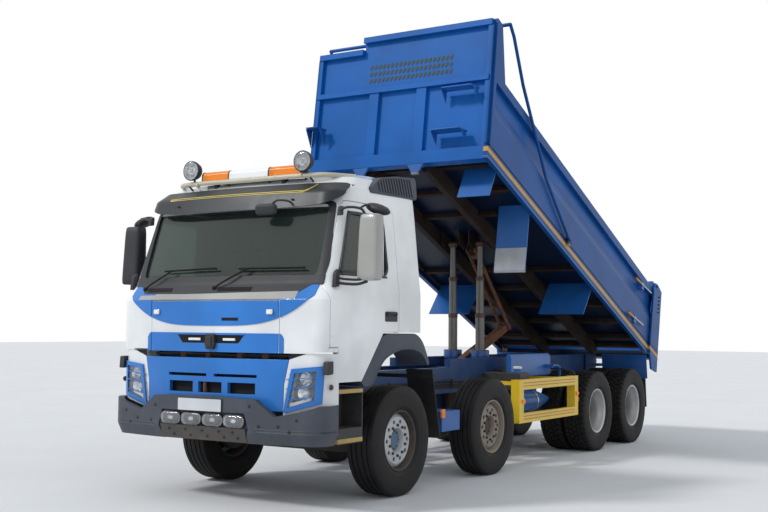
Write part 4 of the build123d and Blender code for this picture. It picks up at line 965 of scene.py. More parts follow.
def make_visor():
    """The smoked visor: a hood on the cab's bowed plan, its lower edge cut up steeply round both corners."""
    reach = 1.215
    s = np.linspace(-reach, reach, 110)[:, None]
    low = np.interp(np.abs(s), [0, 0.72, 0.985, 1.08, 1.155, 1.195, reach],
                    [2.724, 2.726, 2.748, 2.775, 2.806, 2.833, 2.862])
    high = np.interp(np.abs(s), [0, 1.15, 1.195, reach], [2.968, 2.968, 2.955, 2.925])
    z = low + (high - low) * np.linspace(0, 1, 12)[None]
    outer, inner = visor_point(s + 0 * z, z), visor_point(s + 0 * z, z, -0.008)
    visor = show("sun_visor_plate", thick(outer, inner - outer), "cab", visor_smoke, "visor_plastic", bevel=0.002)
    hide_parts("sun_visor")
    start, bend, stop = -0.86, 0.79, 0.875     # the stripe, which rises past its bend
    x = np.linspace(start, stop, 90)[:, None]
    end = np.clip((x - bend) / (stop - bend), 0, 1)
    z = 2.880 + 0.075 * end ** 1.6 + np.array([-0.011, 0.011])[None] * (1 - 0.45 * end)
    show("visor_stripe", thick(visor_point(x + 0 * z, z, 0.003), (0, 0.006, 0)), "cab", visor_yellow,
         "visor_plastic")
    stays = joined(box((x - 0.014, x + 0.014), (y, -1.06), (2.800, 2.812))
                   for x, y in ((-0.70, -1.185), (0.0, -1.208), (0.70, -1.185)))
    show("visor_stays", stays, "cab", dark_plastic, "trim_grey", bevel=0.002)


def make_front_mirror():
    """The small mirror that looks down over the front: a superellipsoid shell on a bent arm under the visor."""
    u = full_turn(36)[:, None]
    v = np.linspace(-pi / 2, pi / 2, 13)[None]
    wide = np.abs(np.cos(v)) ** 0.5
    x = 0.125 * wide * signed_power(np.cos(u), 0.5)
    z = 0.056 * wide * signed_power(np.sin(u), 0.5)
    y = 0.036 * np.sin(v) + 0 * u
    shell = skin(np.stack([x, y, z], -1), round_rows=True).turned(0.25, "X").moved(0.470, -1.268, 2.712)
    arm = tube([(0.52, -1.262, 2.745), (0.60, -1.276, 2.790), (0.71, -1.246, 2.780), (0.74, -1.205, 2.742)], 0.010)
    show("front_mirror", shell + arm, "cab", dark_plastic, "trim_grey")


# Roof

def round_lamp(x, z, y, radius):
    """A round driving lamp facing forwards: a bowl housing, a bright rim and a slightly domed lens."""
    bowl = [(0.100, 0.0), (0.098, radius * 0.45), (0.070, radius * 0.80), (0.020, radius * 0.98), (0.0, radius),
            (-0.012, radius), (-0.014, radius * 0.93), (0.0, radius * 0.92)]
    reflector = [(0.0, radius * 0.92), (0.030, radius * 0.70), (0.055, radius * 0.35), (0.060, 0.0)]
    t = np.linspace(0, 1, 6)
    cover = np.stack([-0.012 - 0.018 * (1 - t ** 2), radius * 0.93 * t], -1)
    bulb = [(0.058, 0.022), (0.020, 0.020), (0.010, 0.012), (0.008, 0.0)]
    place = (x, y, z)
    return (spun(bowl, place, "y", 40), spun(reflector, place, "y", 40, finish=1)
            + spun(bulb, place, "y", 16, finish=1), spun(cover, place, "y", 40))


def make_light_bar():
    """Beacon bar: a black base, two amber ends and a white middle with flat faces, and two round lamps."""
    y, foot = -0.925, 3.066
    lamp_x, lamp_z, lamp_radius = 0.690, 3.183, 0.100
    section = softened([(-0.062, 0.0), (0.062, 0.0), (0.058, 0.070), (0.035, 0.098), (-0.035, 0.098),
                        (-0.058, 0.070)], 0.016)
    def stretch(x0, x1, finish):
        """The bar's section carried from one x to another."""
        path = np.stack([np.linspace(x0, x1, 9), np.full(9, y), np.full(9, foot)], -1)
        return carried(section, path, finish=finish)
    forms = [stretch(-0.565, -0.238, 1), stretch(0.268, 0.640, 1), stretch(-0.226, 0.256, 2)]
    base = slab(rounded(y - 0.060, y + 0.060, 3.046, 3.068, 0.006), -0.60, 0.66, "x")
    ribs = [slab(section * 1.04 + (y, 3.065), x - 0.006, x + 0.006, "x") for x in (-0.570, -0.232, 0.262, 0.645)]
    feet = [box((x - 0.02, x + 0.02), (y - 0.03, y + 0.03), (2.99, 3.05)) for x in (-0.42, 0.42)]
    bar = show("beacon_bar", joined(forms + [base] + ribs + feet), "cab", [dark_plastic, amber_lens, white_lens],
               "light_bar", bevel=0.003)
    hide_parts("light_bar")
    for side, sign in SIDES.items():
        x = sign * lamp_x
        housing, bright, cover = round_lamp(x, lamp_z, y - 0.085, lamp_radius)
        bracket = tube([(x, y - 0.04, 3.10), (x, y - 0.02, 3.05), (sign * 0.66, y, 3.02)], 0.012, up=(0, 1, 0))
        show(f"roof_lamp_{side}", housing + bright + bracket, "cab", [dark_plastic, lamp_bright], "light_bar", sharp=50)
        show(f"roof_lamp_lens_{side}", cover + cover.moved(0, 0.003, 0), "cab", lamp_glass, "lamp")


def make_roof_rail():
    """The tube rail over the front of the roof, bent back along both sides, with joint sleeves and short legs."""
    half = [(0.52, -0.985, 3.050), (0.80, -0.955, 3.052), (0.925, -0.880, 3.052), (0.975, -0.760, 3.055),
            (1.000, -0.600, 3.066)]
    line = [(-x, y, z) for x, y, z in reversed(half)] + [(0.0, -0.990, 3.046)] + half
    rail = tube(line, 0.0235, steps=8, sides=16)
    sleeves = [tube([(x - 0.012, -0.988, z), (x + 0.012, -0.988, z)], 0.0265, sides=14)
               for x, z in ((-0.62, 3.036), (-0.3, 3.043), (0.05, 3.047), (0.36, 3.050), (0.66, 3.052))]
    legs = [tube([(x, -0.975, 3.035), (x, -0.90, 2.985)], 0.010, up=(1, 0, 0)) for x in (-0.75, -0.25, 0.25, 0.75)]
    show("roof_rail", joined([rail] + sleeves), "cab", ivory_rail, "cab_paint", sharp=50)
    show("roof_rail_legs", joined(legs), "cab", dark_plastic, "trim_grey")


# Bumper, grille, number plate and lamps

def make_bumper():
    """The bumper's shell with its recess for the spot lamps, its tucked lower edge, and the skid plate under it.

    The upper edge is a line over |x|; the recess pushes the face back to one plane, between the edges h(z).
    """
    reach = BAND_HALF - BAND_CORNER
    far = np.concatenate([np.linspace(0.60, 0.80, 5), np.linspace(0.85, reach, 5), np.linspace(1.085, 1.382, 10),
                          [1.42, 1.467]])
    recess_y, columns, rows = -1.546, 14, 6       # the recess: its plane, and the grid's columns and rows in it
    foot, rise = 0.716, 0.284
    low_row = np.array([foot, 0.740, 0.780, 0.820, 0.850, 0.8545, 0.8585, 0.900])
    top = np.interp(far, [0, 0.6, 0.8, reach, BAND_HALF], [1.0, 0.985, 0.838, 0.894, 0.9415])[:, None]
    def half_recess(z):
        """Half width of the recess at each height: widest in its middle."""
        return np.interp(z, [0.580, foot, 0.858], [0.488, 0.535, 0.488])
    near_z = np.tile(np.append(low_row, 0.0), (columns + 2, 1))
    share = np.append(np.linspace(0, 1, columns), [1.0, 1.0])[:, None]
    near_s = half_recess(near_z) * share + np.append(np.zeros(columns), [0.004, 0.040])[:, None]
    near_z[:, -1] = 1.0 - 0.025 * near_s[:, -1]
    far_z = foot + (top - foot) * np.append((low_row - foot) / rise, 1.0)[None]
    s, z = np.vstack([near_s, far[:, None] + 0 * far_z]), np.vstack([near_z, far_z])
    face, inner = band_point(s, z), band_point(s, z, out=-0.060)
    sunk = (np.arange(len(s)) < columns)[:, None] & (np.arange(len(low_row) + 1) < rows)[None]
    face[..., 1] += np.where(sunk, recess_y - face[..., 1], 0.0)
    upper = thick(face, inner - face)
    z = np.array([0.590, 0.600, 0.640, 0.685, 0.693, foot])[None]
    first = half_recess(z)
    s = np.vstack([first, first + 0.004, np.maximum(first + 0.03, np.append([0.58, 0.60], far)[:, None])])
    tuck_depth, tuck_top, tuck_height = 0.042, 0.690, 0.100
    tuck = -tuck_depth * np.clip((tuck_top - z + 0 * s) / tuck_height, 0, 1)
    face, inner = band_point(s, z + 0 * s, out=tuck), band_point(s, z + 0 * s, out=tuck - 0.050)
    skid = slab([(-1.578, 0.722), (-1.536, 0.594), (-1.180, 0.568), (-1.180, 0.588), (-1.516, 0.614),
                 (-1.556, 0.722)], -0.505, 0.505, "x", 1)
    arms = box((0.33, 0.41), (-1.535, -1.20), (0.62, 0.76), 1)
    shell = show("bumper_shell", both(upper + thick(face, inner - face)) + skid + both(arms), "chassis",
                 [grey_plastic, skid_steel], "bumper_grey", bevel=0.0025)
    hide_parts("bumper")


def make_grille():
    """The lower grille: a bowed panel, narrower below, with two slots and three openings framed by folded edges."""
    x = np.array([0, 0.045, 0.093, 0.140, 0.175, 0.210, 0.28, 0.36, 0.44, 0.515, 0.530, 0.60, 0.67, 0.74, 0.80])
    z = np.array([0.880, 0.95, 1.020, 1.053, 1.087, 1.120, 1.145, 1.170, 1.196, 1.24, 1.29, 1.340])
    narrowest = 0.804
    edge = np.interp(z, [0.880, 1.118, 1.340], [narrowest, 0.810, 0.858])
    s = np.vstack([x[:, None] + (edge - narrowest) * (x[:, None] > 0.535), edge[None] + 0.002])
    face = band_point(s, z[None] + 0 * s, GRILLE_FRONT)
    sheet = skin(face)
    faces, finish = sheet.blocks[0]
    across, _, up = sheet.points[faces].mean(1).T
    slot = (across > 0.045) & (across < 0.530) & (up > 1.170) & (up < 1.196)
    opening = ((across < 0.140) | ((across > 0.210) & (across < 0.515))) & (up > 1.020) & (up < 1.120)
    solid = Form(sheet.points, [(faces[~(slot | opening)], finish)])
    panel = show("grille_panel", both(walled(solid, face + (0, 0.045, 0))), "chassis", blue_paint, "front_paint",
                 bevel=0.003)
    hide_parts("lower_grille")


def make_bumper_detail():
    """The blank plate, bolts, towing pin, and what shows in the gap and the openings: backing, pipes and catches."""
    plate = slab(rounded(-0.268, 0.248, 0.862, 0.972, 0.008, 3), -1.5995, -1.594)
    backing = slab(rounded(-0.274, 0.254, 0.856, 0.978, 0.01, 3), -1.5965, -1.582, finish=1)
    show("blank_plate", plate + backing, "chassis", [plate_white, dark_plastic], "bumper_grey", bevel=0.002)
    places = [(-0.585, 0.893), (0.545, 0.926), (0.644, 0.749), (0.841, 0.758), (-0.644, 0.749), (-0.841, 0.758),
              (-0.95, 0.715), (0.95, 0.715), (1.02, 0.82), (-1.02, 0.82)]
    bolts = joined(bolt((x, float(band_point(x, z)[1]) + 0.001, z), 0.013, 0.009) for x, z in places)
    show("bumper_bolts", bolts, "chassis", nut_dark, "bumper_grey")
    row = joined(bolt((x + 0.05 * k, -1.5665 + 0.0165 * k, 0.687 - 0.050 * k), 0.012, 0.010)
                 for x in (-0.40, -0.20, 0.0, 0.20, 0.36) for k in (0, 1))
    show("skid_bolts", row, "chassis", nut_dark, "bumper_grey")
    pin = spun(rod(0.06, 0.018), (-0.08, -1.44, 1.085), "z", 16)
    show("towing_pin", pin, "chassis", rust_steel, "bumper_grey")
    s, z = np.meshgrid(np.linspace(-0.60, 0.60, 24), [0.990, 1.230], indexing="ij")
    shield = box((-0.83, 0.83), (-1.262, -1.252), (1.20, 1.392))
    backing = thick(band_point(s, z, -1.408), (0, 0.006, 0))
    pipes = [tube([(-0.80, -1.33, 1.368), (-0.30, -1.36, 1.374), (0.25, -1.35, 1.366), (0.82, -1.33, 1.372)], 0.013),
             tube([(-0.70, -1.30, 1.350), (0.10, -1.32, 1.348), (0.76, -1.30, 1.354)], 0.010)]
    catches = [box((x - 0.03, x + 0.03), (-1.375, -1.325), (1.340, 1.386)) for x in (-0.42, -0.11, 0.27, 0.56)]
    near, far, foot = 0.862, 1.03, 1.342
    s, share = np.meshgrid(np.linspace(near, far, 12), [0.0, 1.0], indexing="ij")
    z = foot + 0.052 * (s - near) / (far - near) * (1 - share) + 0.054 * share
    wedge = thick(band_point(s, z, -1.4725), (0, 0.004, 0))
    show("grille_backing", backing + shield + both(wedge), "chassis", black_gap, "trim_grey")
    show("gap_pipes", joined(pipes), "chassis", dark_plastic, "trim_grey")
    show("gap_catches", joined(catches), "chassis", rust_steel, "bumper_grey", bevel=0.004)


def spot_lamp(x):
    """A wide spot lamp and its cover: rings of a superellipse, for a bowl, a chromed reflector and a clear face."""
    y, z, half, tall = -1.5695, 0.785, 0.124, 0.060
    t = full_turn(40)
    rim = np.stack([half * signed_power(np.cos(t), 0.55), tall * signed_power(np.sin(t), 0.75)], -1)
    deep = np.array([(-0.004, 0.98), (-0.012, 1.0), (0.004, 1.02), (0.030, 0.95), (0.060, 0.70), (0.066, 0.0)])
    inner = np.array([(-0.004, 0.98), (0.012, 0.86), (0.034, 0.55), (0.040, 0.25), (0.012, 0.22), (0.008, 0.0)])
    cover = np.array([(-0.010, 0.97), (-0.020, 0.80), (-0.028, 0.45), (-0.030, 0.0)])
    def shaped(rows, finish=0):
        """Rings at rows of (depth, share of the rim)."""
        grid = np.zeros((len(rows), len(rim), 3))
        grid[..., [0, 2]] = rows[:, None, 1:] * rim[None]
        grid[..., 1] = rows[:, :1]
        return skin(grid + (x, y, z), round_cols=True, finish=finish)
    return shaped(deep) + shaped(inner, 1), shaped(cover) + shaped(cover + (0.003, 0))


def headlamp_frame(u, v, out):
    """Point of a headlamp: bilinear between its four corners, laid on the front band and pushed out."""
    corner = np.array([(0.803, 0.890), (1.114, 0.985), (1.134, 1.272), (0.874, 1.222)])
    lower = corner[0] + (corner[1] - corner[0]) * u[..., None]
    upper = corner[3] + (corner[2] - corner[3]) * u[..., None]
    spot = lower + (upper - lower) * v[..., None]
    x, z = spot[..., 0], spot[..., 1]
    reach, radius = BAND_HALF - BAND_CORNER, BAND_CORNER
    round_in = np.clip(x - reach, 0, radius * 0.99)
    bow = GRILLE_FRONT + BAND_SWEEP * (np.minimum(x, reach) / reach) ** 2
    return np.stack([x, bow + radius - np.sqrt(radius ** 2 - round_in ** 2) - out, z], -1)


def make_headlamps():
    """Each headlamp: a black tray, two bright strips, two bowls, a bar and a clear cover; and four spot lamps."""
    whole = (0, 1, 14)
    def sheet(u, v, out, depth, finish=0):
        """A plate on the lamp's frame; u and v each give its two ends and its number of points."""
        grid = np.meshgrid(np.linspace(*u), np.linspace(*v), indexing="ij")
        return thick(headlamp_frame(*grid, out), (0, depth, 0), finish)
    forms = [sheet(whole, whole, -0.050, 0.012), sheet((0.05, 0.16, 3), (0.05, 0.95, 10), -0.012, 0.014, 1),
             sheet((0.05, 0.85, 10), (0.05, 0.14, 3), -0.012, 0.014, 1)]
    bowl = [(0.020, 0.0), (0.012, 0.030), (-0.016, 0.058), (-0.020, 0.062), (-0.016, 0.064), (0.018, 0.050)]
    ball = [(0.016, 0.026), (0.0, 0.030), (-0.014, 0.024), (-0.022, 0.012), (-0.024, 0.0)]
    for u, v in ((0.60, 0.34), (0.62, 0.74)):
        place = headlamp_frame(np.array(u), np.array(v), -0.030)
        forms += [spun(bowl, place, "y", 30, finish=2), spun(ball, place, "y", 24, finish=3)]
    forms.append(sheet((0.22, 0.98, 8), (0.50, 0.54, 3), -0.022, 0.020))
    show_pair("headlamp_inside", joined(forms), "chassis", [black_gap, white_lens, chrome, lamp_glass], "lamp",
              sharp=50)
    show_pair("headlamp_cover", sheet(whole, whole, 0.004, 0.004), "chassis", lamp_glass, "lamp")
    lamps, covers = zip(*(spot_lamp(x - 0.030) for x in (-0.348, -0.095, 0.159, 0.407)))
    spots = show("spot_lamps", joined(lamps), "chassis", [dark_plastic, lamp_bright], "lamp", sharp=50)
    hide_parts("headlamps")
    show("spot_lamp_covers", joined(covers), "chassis", lamp_glass, "lamp")


def make_corner_fittings():
    """Side marker block and knob on each front corner."""
    block = slab(softened([(-1.372, 1.214), (-1.286, 1.220), (-1.286, 1.334), (-1.364, 1.330)], 0.012), 1.205, 1.262,
                 "x")
    knob = spun([(-0.004, 0.0), (-0.004, 0.026), (0.012, 0.024), (0.018, 0.014), (0.018, 0.0)], (1.245, -1.30, 1.106),
                "x", 20)
    show_pair("corner_marker", block + knob, "chassis", dark_plastic, "trim_grey", bevel=0.004)


# Mirrors and doors

def make_mirrors():
    """Tall main mirror and the wide-angle mirror over it: superellipse rings stacked up the shell, on bent arms."""
    t = full_turn(48)[None]
    level = np.array([0.0, 0.008, 0.03, 0.10, 0.25, 0.50, 0.75, 0.90, 0.97, 0.992, 1.0])[:, None]
    fat = np.array([0.0, 0.80, 0.94, 0.99, 1.0, 1.0, 1.0, 0.985, 0.94, 0.80, 0.0])[:, None]
    half_x, half_y = 0.112 - 0.012 * level, 0.072
    lean = -0.055 * (level - 0.5)
    x = 1.455 + half_x * fat * signed_power(np.cos(t), 0.35)
    y = -1.005 - lean * 0.6 + half_y * fat * signed_power(np.sin(t), 0.55)
    z = 2.048 + 0.606 * level + 0 * t
    shell = skin(np.stack([x, y, z], -1), round_cols=True)
    for side, sign in SIDES.items():
        # Painted shade: the right mirror's shell takes dark plastic because that side lies in shadow; the left one
        # keeps its grey.
        finish = mirror_shell_grey if side == "left" else dark_plastic
        mirror = show(f"mirror_shell_{side}", on_side(shell, sign), f"door_{side[0]}", finish, "mirror_shell",
                      sharp=40)
        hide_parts(f"mirror_{side}")
    glass_face = slab(softened([(1.365, 2.085), (1.545, 2.085), (1.541, 2.615), (1.369, 2.615)], 0.03), -0.935,
                      -0.929)
    show_pair("mirror_glass", glass_face, "door_{}", chrome, "mirror_shell")
    u = full_turn(32)[:, None]
    v = np.linspace(-pi / 2, pi / 2, 13)[None]
    wide = np.stack([0.130 * np.cos(v) * np.cos(u), 0.080 * np.sin(v) + 0 * u, 0.048 * np.cos(v) * np.sin(u)], -1)
    wide = skin(wide, round_rows=True).turned(0.32, "Y").moved(1.448, -0.880, 2.706)
    low, second, high, link = (tube(points, radius) for points, radius in (
        ([(1.225, -1.225, 2.035), (1.29, -1.19, 2.020), (1.38, -1.10, 2.018), (1.43, -1.02, 2.045)], 0.013),
        ([(1.225, -1.225, 2.075), (1.30, -1.17, 2.060), (1.40, -1.08, 2.060), (1.44, -1.02, 2.10)], 0.011),
        ([(1.165, -1.085, 2.690), (1.25, -1.075, 2.715), (1.36, -1.03, 2.700), (1.40, -1.01, 2.640)], 0.012),
        ([(1.35, -1.035, 2.702), (1.385, -0.985, 2.735), (1.42, -0.90, 2.725)], 0.010)))
    plate = slab(softened([(-1.262, 1.985), (-1.195, 1.995), (-1.190, 2.155), (-1.245, 2.120)], 0.012), 1.215, 1.250,
                 "x")
    top_plate = slab(softened([(-1.100, 2.640), (-1.045, 2.650), (-1.045, 2.735), (-1.085, 2.720)], 0.012), 1.148,
                     1.182, "x")
    arms = joined([low, second, high, wide, link, plate, top_plate])
    show_pair("mirror_arms", arms, "door_{}", dark_plastic, "trim_grey", sharp=45)


def door_x(z):
    """X of the door's outer face at each height."""
    return np.interp(z, CAB_Z, CAB_HALF)


def side_panel(outline, out, depth, radius):
    """An outline of (y, z) points as a thin plate that leans with the cab's side."""
    points = softened(outline, radius)
    count = len(points)
    grid = np.zeros((2, count, 3))
    grid[:, :, 1:] = points
    grid[0, :, 0] = door_x(points[:, 1]) + out
    grid[1, :, 0] = door_x(points[:, 1]) + out - depth
    ring, walls = ring_walls(count)
    return Form(grid, [(walls, 0), (ring[None], 0), (ring[None, ::-1] + count, 0)])


def side_ring(outline, width, out, depth, radius):
    """A frame of even width inside an outline of (y, z) points on the cab's side."""
    outer = softened(outline, radius, 6)
    after, before = np.roll(outer, -1, 0), np.roll(outer, 1, 0)
    along = after - before
    along /= np.linalg.norm(along, axis=1)[:, None] + 1e-9
    normal = np.stack([-along[:, 1], along[:, 0]], -1)
    area = np.sum(outer[:, 0] * after[:, 1] - after[:, 0] * outer[:, 1])
    inner = outer + normal * (width if area > 0 else -width)
    count = len(outer)
    ring = np.zeros((count, 4, 3))
    for k, (points, push) in enumerate(((outer, out), (inner, out), (inner, out - depth), (outer, out - depth))):
        ring[:, k, 1:] = points
        ring[:, k, 0] = door_x(points[:, 1]) + push
    return skin(ring, round_rows=True, round_cols=True)


def make_door_detail():
    """Window surround, belt seal, handle and the two pressed lines of each door."""
    window = [(-1.160, 2.120), (-0.950, 2.700), (-0.420, 2.705), (-0.345, 2.640), (-0.330, 2.180), (-0.380, 2.120)]
    show_pair("window_surround", side_ring(window, 0.028, 0.003, 0.016, 0.06), "door_{}", dark_plastic, "trim_grey")
    seal = side_panel(corners(-1.15, -0.37, 2.100, 2.118), 0.006, 0.014, 0.004)
    cup = side_panel(corners(-0.420, -0.200, 1.690, 1.786), 0.003, 0.010, 0.016)
    grip = tube([(1.250, -0.400, 1.750), (1.268, -0.375, 1.766), (1.270, -0.255, 1.768), (1.250, -0.228, 1.754)],
                0.011, sides=10)
    show_pair("door_handle", seal + cup + grip, "door_{}", dark_plastic, "trim_grey", sharp=45)
    crease = joined(side_panel([(-1.29, a), (end, b), (end, b + 0.007), (-1.29, a + 0.007)], 0.0025, 0.006, 0.002)
                    for a, b, end in ((1.872, 1.925, -0.18), (1.545, 1.655, -0.62)))
    show_pair("door_crease", crease, "door_{}", white_paint, "cab_paint")


def make_steps():
    """The yellow treads of the two boarding steps on each side."""
    outline = rounded(1.02, 1.241, -1.1745, -0.774, 0.01, 3)
    treads = joined(slab(outline, z, z + thickness, "z") for z, thickness in ((1.042, 0.036), (0.600, 0.040)))
    show_pair("step_edges", treads, "chassis", step_yellow, "guard_yellow", bevel=0.005)


def make_arches():
    """Each front arch: a smooth band between an outer and an inner line of (y, z), and a raised lip round its
    mouth. Across the band the face swells by a quarter sine."""
    outer = smooth_path([(-0.806, 1.137), (-0.640, 1.350), (-0.470, 1.530), (-0.330, 1.574), (0.0, 1.576),
                         (0.175, 1.572), (0.300, 1.505), (0.385, 1.390), (0.440, 1.290)], 5)
    inner = smooth_path([(-0.790, 1.097), (-0.640, 1.110), (-0.540, 1.232), (-0.405, 1.345), (-0.180, 1.415),
                         (0.0, 1.430), (0.155, 1.415), (0.290, 1.362), (0.385, 1.262)], 5)
    count, face_x, inner_x, lip_x = 48, 1.232, 0.907, 1.246
    outer, inner = even_points(outer, count), even_points(inner, count)
    share = np.linspace(0, 1, 7)[None, :, None]
    flat = outer[:, None] * (1 - share) + inner[:, None] * share
    crown = face_x + 0.018 * np.sin(pi * np.minimum(1.0, share[..., 0] * 1.25) / 2)
    face = np.concatenate([crown[..., None] + 0 * flat[..., :1], flat], -1)
    band = walled(skin(face), face * (0, 1, 1) + (inner_x, 0, 0))
    mouth = np.concatenate([np.full((count, 1), lip_x), inner + (0, 0.004)], 1)
    arches = show_pair("arch", band + carried(circle(0.011, 10), mouth, (1, 0, 0)), "cab", grey_plastic, "trim_grey",
                       sharp=50)
    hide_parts("cab_arches")


# Air intake on the left rear corner of the cab

def make_air_intake():
    """The air intake: an outline of (y, z) drawn across the roof's edge, with slanting louvres on its outer face."""
    outline = [(-0.548, 2.908), (-0.556, 2.952), (-0.370, 3.074), (-0.060, 3.122), (0.290, 3.146), (0.324, 2.920),
               (0.0, 2.918)]
    points = softened(outline, 0.05, 6)
    middle = points.mean(0)
    layers = [(0.945, 0.97), (0.955, 1.0), (1.138, 1.0), (1.150, 0.985), (1.154, 0.95)]
    rings = np.stack([np.concatenate([np.full((len(points), 1), x), middle + (points - middle) * k], 1)
                      for x, k in layers])
    count = len(points)
    shell = skin(rings, round_cols=True)
    ring = np.arange(count)
    shell.blocks += [(ring[None, ::-1], 0), (ring[None] + (len(layers) - 1) * count, 0)]
    foot = 2.940
    y = -0.395 + 0.050 * np.arange(13)
    top = np.interp(y, [-0.54, -0.370, -0.060, 0.290], [2.955, 3.062, 3.108, 3.130]) - 0.014
    lean = (top - foot) * 0.40
    ribs = [slab([(a, foot), (a + 0.026, foot), (a + 0.026 - c, b), (a - c, b)], 1.150, 1.168, "x")
            for a, b, c in zip(y, top, lean)]
    show("air_intake", shell, "cab", grey_plastic, "trim_grey", bevel=0.004)
    show("air_intake_louvres", joined(ribs), "cab", grey_plastic, "trim_grey", bevel=0.003)


# Seats

def cushion(half_x, half_y, half_z):
    """A stuffed block: a superellipse in every section, fuller in the middle of each face."""
    crown = 0.0625
    u = np.linspace(-pi / 2, pi / 2, 22)[:, None]
    v = full_turn(28)[None]
    x = half_x * signed_power(np.cos(u), 0.35) * signed_power(np.cos(v), 0.35)
    y = half_y * signed_power(np.cos(u), 0.35) * signed_power(np.sin(v), 0.35)
    z = half_z * signed_power(np.sin(u), 0.5) + 0 * v
    swell = 1 + crown * (1 - (x / half_x) ** 2) * (1 - (y / half_y) ** 2)
    return skin(np.stack([x, y, z * swell], -1), round_cols=True)


def stuffed(pad, cap):
    """Swells a pad as cloth under pressure with no gravity; no point moves further than cap from where it was."""
    scene = bpy.context.scene
    bpy.context.view_layer.objects.active = pad
    remesh = pad.modifiers.new("even", "REMESH")
    remesh.mode, remesh.voxel_size = "VOXEL", 0.012
    bpy.ops.object.modifier_apply(modifier="even")
    count = len(pad.data.vertices)
    before = np.empty(count * 3)
    pad.data.vertices.foreach_get("co", before)
    fabric = pad.modifiers.new("fabric", "CLOTH")
    fabric.settings.use_pressure = True
    fabric.settings.uniform_pressure_force = 4.0
    fabric.settings.effector_weights.gravity = 0.0
    for step in range(1, 21):
        scene.frame_set(step)
    swollen = pad.evaluated_get(bpy.context.evaluated_depsgraph_get()).data
    after = np.empty(count * 3)
    swollen.vertices.foreach_get("co", after)
    pad.modifiers.remove(fabric)
    scene.frame_set(1)
    move = (after - before).reshape(-1, 3)
    size = np.linalg.norm(move, axis=1, keepdims=True)
    move *= np.minimum(1.0, cap / np.maximum(size, 1e-9))
    pad.data.vertices.foreach_set("co", (before.reshape(-1, 3) + move).ravel())
    pad.data.update()
    pad.data.polygons.foreach_set("use_smooth", np.ones(len(pad.data.polygons), bool))
    soft = pad.modifiers.new("soft", "SUBSURF")
    soft.levels = soft.render_levels = 1


def make_seats():
    """Driver's and passenger's seats: padded cushion, back and headrest, on a plain base."""
    floor, seat_x = 1.470, 0.640
    for side, sign in SIDES.items():
        x = sign * seat_x
        forms = {
            "cushion": cushion(0.232, 0.252, 0.058).moved(x, -0.535, floor + 0.305),
            "back": cushion(0.222, 0.320, 0.052).turned(radians(80), "X").moved(x, -0.190, floor + 0.64),
            "headrest": cushion(0.118, 0.092, 0.036).turned(radians(80), "X").moved(x, -0.115, floor + 1.055),
        }
        for name, form in forms.items():
            pad = show(f"seat_{name}_{side}", form, "cab", seat_cloth, "seat_fabric", sharp=180)
            stuffed(pad, 0.022)
        base = slab(rounded(x - 0.19, x + 0.19, -0.70, -0.30, 0.03), floor + 0.002, floor + 0.226, "z")
        show(f"seat_base_{side}", base, "cab", inside_plastic, "interior", bevel=0.01)
    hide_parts("seats")


# Tipping body

BULK_FOOT_Y = 1.215
BULK_LEAN = radians(15.45)


def on_bulkhead(form):
    """A form drawn on an upright front face, foot at the origin, leant and raised with the bulkhead."""
    return form.turned(BULK_LEAN, "X").moved(0, BULK_FOOT_Y, RAIL_BOTTOM)


def make_bulkhead_detail():
    """Step plates on cheeks, two hanging lugs and three rows of slanting oval slots on the bulkhead's front."""
    steps = [((0.64, 1.10), 0.69, 0.84, 0.16), ((0.55, 0.98), 0.20, 0.34, 0.18), ((-1.24, -0.99), 0.31, 0.53, 0.16)]
    forms = []
    for (x0, x1), low, high, out in steps:
        forms.append(slab([(x0, -0.055), (x1, -0.055), (x1 - 0.04, -out - 0.05), (x0 + 0.04, -out - 0.05)],
                          high - 0.012, high, "z"))
        forms += [slab([(-0.05, low), (-0.05, high - 0.01), (-out - 0.03, high - 0.01)], x, x + 0.008, "x")
                  for x in (x0 + 0.02, x1 - 0.028)]
    show("bulkhead_steps", on_bulkhead(joined(forms)), "tipper", wing_blue, "body_paint", bevel=0.003, tip=True)
    lugs = []
    for x in (0.31, -0.45):
        outline = softened([(x - 0.12, 0.02), (x + 0.12, 0.02), (x + 0.05, -0.10), (x - 0.05, -0.10)], 0.01, 3)
        lugs += [slab(outline, -0.050, -0.020),
                 slab(corners(x - 0.045, x + 0.045, -0.125, -0.100), -0.056, -0.014, finish=1)]
    show("bulkhead_lugs", on_bulkhead(joined(lugs)), "tipper", [wing_blue, grey_rubber], "body_paint", bevel=0.003,
         tip=True)
    t = full_turn(16)
    slots = [slab(np.stack([x + 0.018 * np.cos(t) + 0.010 * np.sin(t), up + 0.030 * np.sin(t)], -1), -0.004, 0.0)
             for up in 1.105 + 0.085 * np.arange(3) for x in -0.44 + 0.0583 * np.arange(20)]
    show("bulkhead_slots", on_bulkhead(joined(slots)), "tipper", slot_shadow, "body_paint", tip=True)


def make_latches():
    """Two sheet latches on each side: a lug welded to the wall with a long orange-handled lever."""
    lever_x = 1.268
    forms = []
    for start, end in (((5.992, 2.143), (6.677, 2.219)), ((5.873, 1.544), (6.529, 1.626))):
        start, end = np.array([lever_x, *start]), np.array([lever_x, *end])
        _, y, z = (start + end) / 2
        lug = softened([(y - 0.05, z - 0.06), (y + 0.05, z - 0.06), (y + 0.03, z + 0.05), (y - 0.03, z + 0.05)], 0.015)
        forms += [carried(circle(0.012, 10), [start, end], finish=1),
                  carried(circle(0.017, 10), [start, start + 0.34 * (end - start)], finish=2),
                  slab(lug, 1.192, 1.262, "x")]
    show_pair("gate_latches", joined(forms), "tipper", [wing_blue, dull_chrome, orange_line], "body_paint",
              bevel=0.002, tip=True)


# Chassis

AIR_TANK = (0.790, 0.725, 0.132)       # x, z, radius
FILLER = (0.945, 3.110, 0)             # axis of the filler's neck and cap
RAM_X, RAM_Y, RAM_FOOT, RAM_EYE = 0.200, 3.550, 0.600, 2.740       # across, along, heights of foot and top eye


